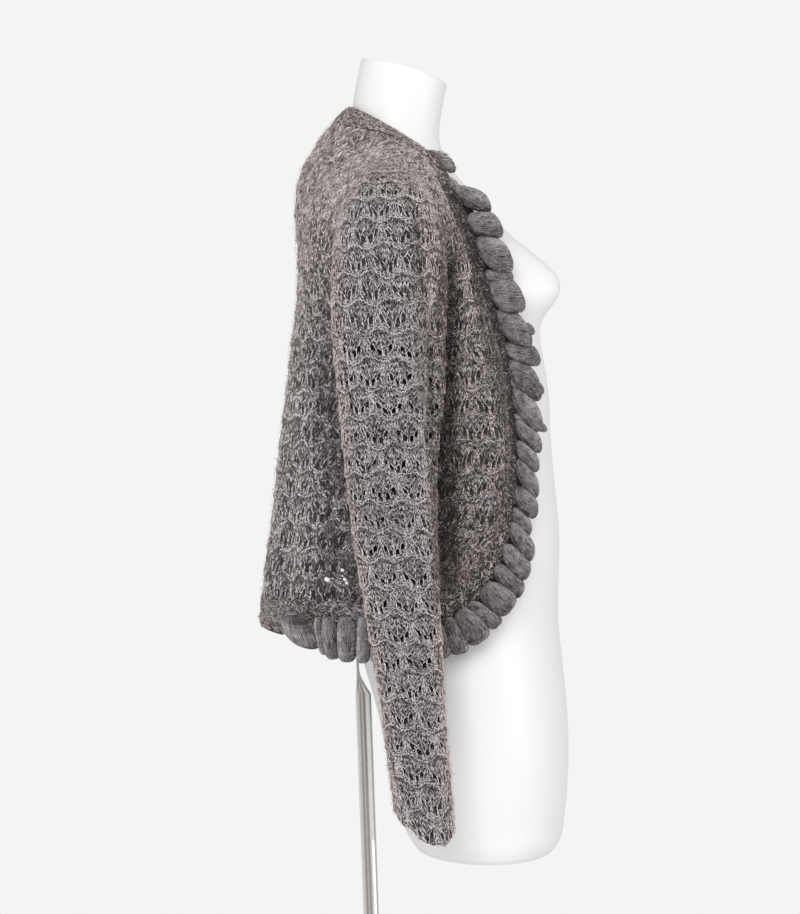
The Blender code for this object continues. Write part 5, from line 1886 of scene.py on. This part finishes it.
@dataclass
class Stand:
    """The leaning pole and the round base plate."""

    lean: float = 0.0359
    foot_y: float = 0.0156
    sides: int = 64
    base_radius: float = 0.185
    base_thick: float = 0.008
    base_edge: float = 0.0015
    chrome: Plain = Plain("pole_chrome", (0.96, 0.94, 0.91), 0.18, 0.7, 60.0, True)
    steel: Plain = Plain("base_steel", (0.62, 0.63, 0.64), 0.34, 1.0, 90.0)

    @staticmethod
    def painted_reflections(turn: Array) -> Array:
        """Painted reflections round the tube: dark stripes for the studio reflected in the chrome, 0 bright
        to 1 dark.
        """
        dark = np.zeros_like(turn)
        for at, wide, deep in ((150, 18, 0.95), (184, 12, 0.75), (240, 10, 0.55), (60, 14, 0.8),
                               (20, 9, 0.6), (-40, 13, 0.9), (100, 6, 0.4), (-75, 8, 0.5)):
            off = (np.degrees(turn) - at + 180.0) % 360.0 - 180.0
            dark += deep * np.exp(-((off / wide) ** 2))
        return np.clip(dark, 0.0, 1.0)

    def build(self) -> None:
        """Makes both pieces."""
        turn = np.linspace(0.0, 2 * np.pi, self.sides, endpoint=False)
        heights = np.concatenate([[0.0083, 0.3, 0.6, 0.9], np.linspace(0.949, 0.974, 14), [1.0, 1.059, 1.06]])
        keys = [s.height for s in POLE_SECTIONS]
        rows = []
        for z in heights:
            half_x, half_y, shift = (float(np.interp(z, keys, [getattr(s, f) for s in POLE_SECTIONS]))
                                     for f in PoleSection._fields[1:])
            y = self.foot_y + self.lean * z + shift
            rows.append(level_ring(turn, half_x, half_y, y, z))
        rows.insert(0, rows[0] * np.array([0.02, 0, 1]) + np.array([0, self.foot_y, 0]))
        rows.append(rows[-1] * np.array([0.02, 0, 1]) + np.array([0, float(rows[-1][:, 1].mean()), 0]))
        tube = self._piece("pole_tube", "pole", "pole_chrome", np.array(rows), self.chrome)
        # Painted reflections: dark stripes round the tube stand in for what the chrome reflects.
        set_attribute(tube.data, "stripe", np.tile(self.painted_reflections(turn), len(rows)))
        r, t, e = self.base_radius, self.base_thick, self.base_edge
        outline = [(0.002, 0.0), (r - e, 0.0), (r - 0.3 * e, 0.3 * e), (r, e), (r, t - e),
                   (r - 0.3 * e, t - 0.3 * e), (r - e, t), (0.002, t)]
        turn = np.linspace(0.0, 2 * np.pi, 128, endpoint=False)
        rings = [level_ring(turn, a, a, 0.0, z) for a, z in outline]
        self._piece("base_disc", "base_plate", "base_steel", np.array(rings), self.steel)

    @staticmethod
    def _piece(name: str, node: str, slot: str, rows: Array, finish: Plain) -> Piece:
        """One lofted piece of the stand."""
        faces = grid_faces(rows.shape[0], rows.shape[1], around=True)
        made = make_mesh(name, rows.reshape(-1, 3), faces, finish.material())
        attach(made, "root")
        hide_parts(node)
        LOG.info("%s: %d faces", name, len(faces))
        return made


@dataclass
class Studio:
    """Floor, soft light and the camera at the photograph's side view."""

    camera_place: tuple[float, float, float] = (-2.5, 0.013, 1.186)
    focal_pixels: float = 2500.0
    image_height: float = 914.0
    sensor: float = 36.0
    backdrop: float = 0.905
    ambient: float = 0.62
    floor_reach: float = 1.4
    lamps: tuple[tuple[str, tuple[float, float, float], float, float], ...] = (
        ("key", (-2.7, 0.30, 2.1), 1.3, 44.0),
        ("fill", (-0.7, -2.7, 1.10), 1.6, 17.0),
        ("low", (-0.9, 2.4, 0.45), 1.2, 7.0),
    )

    def build(self) -> None:
        """Makes the studio."""
        scene = bpy.context.scene
        scene.view_settings.view_transform = "Standard"
        data = bpy.data.cameras.new("camera")
        data.sensor_width = self.sensor
        data.lens = self.sensor * self.focal_pixels / self.image_height
        camera = bpy.data.objects.new("camera", data)
        camera.location = self.camera_place
        camera.rotation_euler = (math.radians(90), 0.0, math.radians(-90))
        scene.collection.objects.link(camera)
        scene.camera = camera
        scene.world = self._world()
        paint = Plain("floor_paint", (0.90, 0.90, 0.90), 0.7, 0.0, 5.0).material()
        r = self.floor_reach
        corners = np.array([(-r, -r, -0.0005), (r, -r, -0.0005), (r, r, -0.0005), (-r, r, -0.0005)])
        make_mesh("floor", corners, np.array([(0, 1, 2, 3)]), paint)
        for name, place, size, power in self.lamps:
            lamp = bpy.data.lights.new(name, "AREA")
            lamp.size, lamp.energy = size, power
            made = bpy.data.objects.new(name, lamp)
            made.location = place
            aim = np.array([0.0, 0.0, 1.2]) - np.array(place)
            tilt = math.acos(-aim[2] / np.linalg.norm(aim))
            made.rotation_euler = (tilt, 0.0, math.atan2(aim[1], aim[0]) - math.pi / 2)
            scene.collection.objects.link(made)

    def _world(self) -> bpy.types.World:
        """A white backdrop for the camera, with a softer light for everything else."""
        world = bpy.data.worlds.new("studio")
        world.use_nodes = True
        nodes, white = NodeMaker(world.node_tree), (1.0, 1.0, 1.0, 1.0)
        seen = world.node_tree.nodes["Background"]
        nodes.fill(seen, {"Color": white, "Strength": self.backdrop})
        soft = nodes.add("ShaderNodeBackground", {"Color": white, "Strength": self.ambient})
        path = nodes.add("ShaderNodeLightPath")
        mix = nodes.add("ShaderNodeMixShader", {
            "Fac": path.outputs["Is Camera Ray"], 1: soft.outputs["Background"],
            2: seen.outputs["Background"]})
        nodes.fill(world.node_tree.nodes["World Output"], {"Surface": mix.outputs["Shader"]})
        return world


def main() -> None:
    """Builds every piece in order."""
    logging.basicConfig(level=logging.INFO, format="%(name)s: %(message)s")
    Studio().build()
    cut, yarn = BoleroCut(), YarnLayer()
    DressForm().build()
    Stand().build()
    Lace(cut, yarn).build()
    Bands(cut, yarn).build()
    Ruffles(cut, yarn).build()


if __name__ == "__main__":
    main()
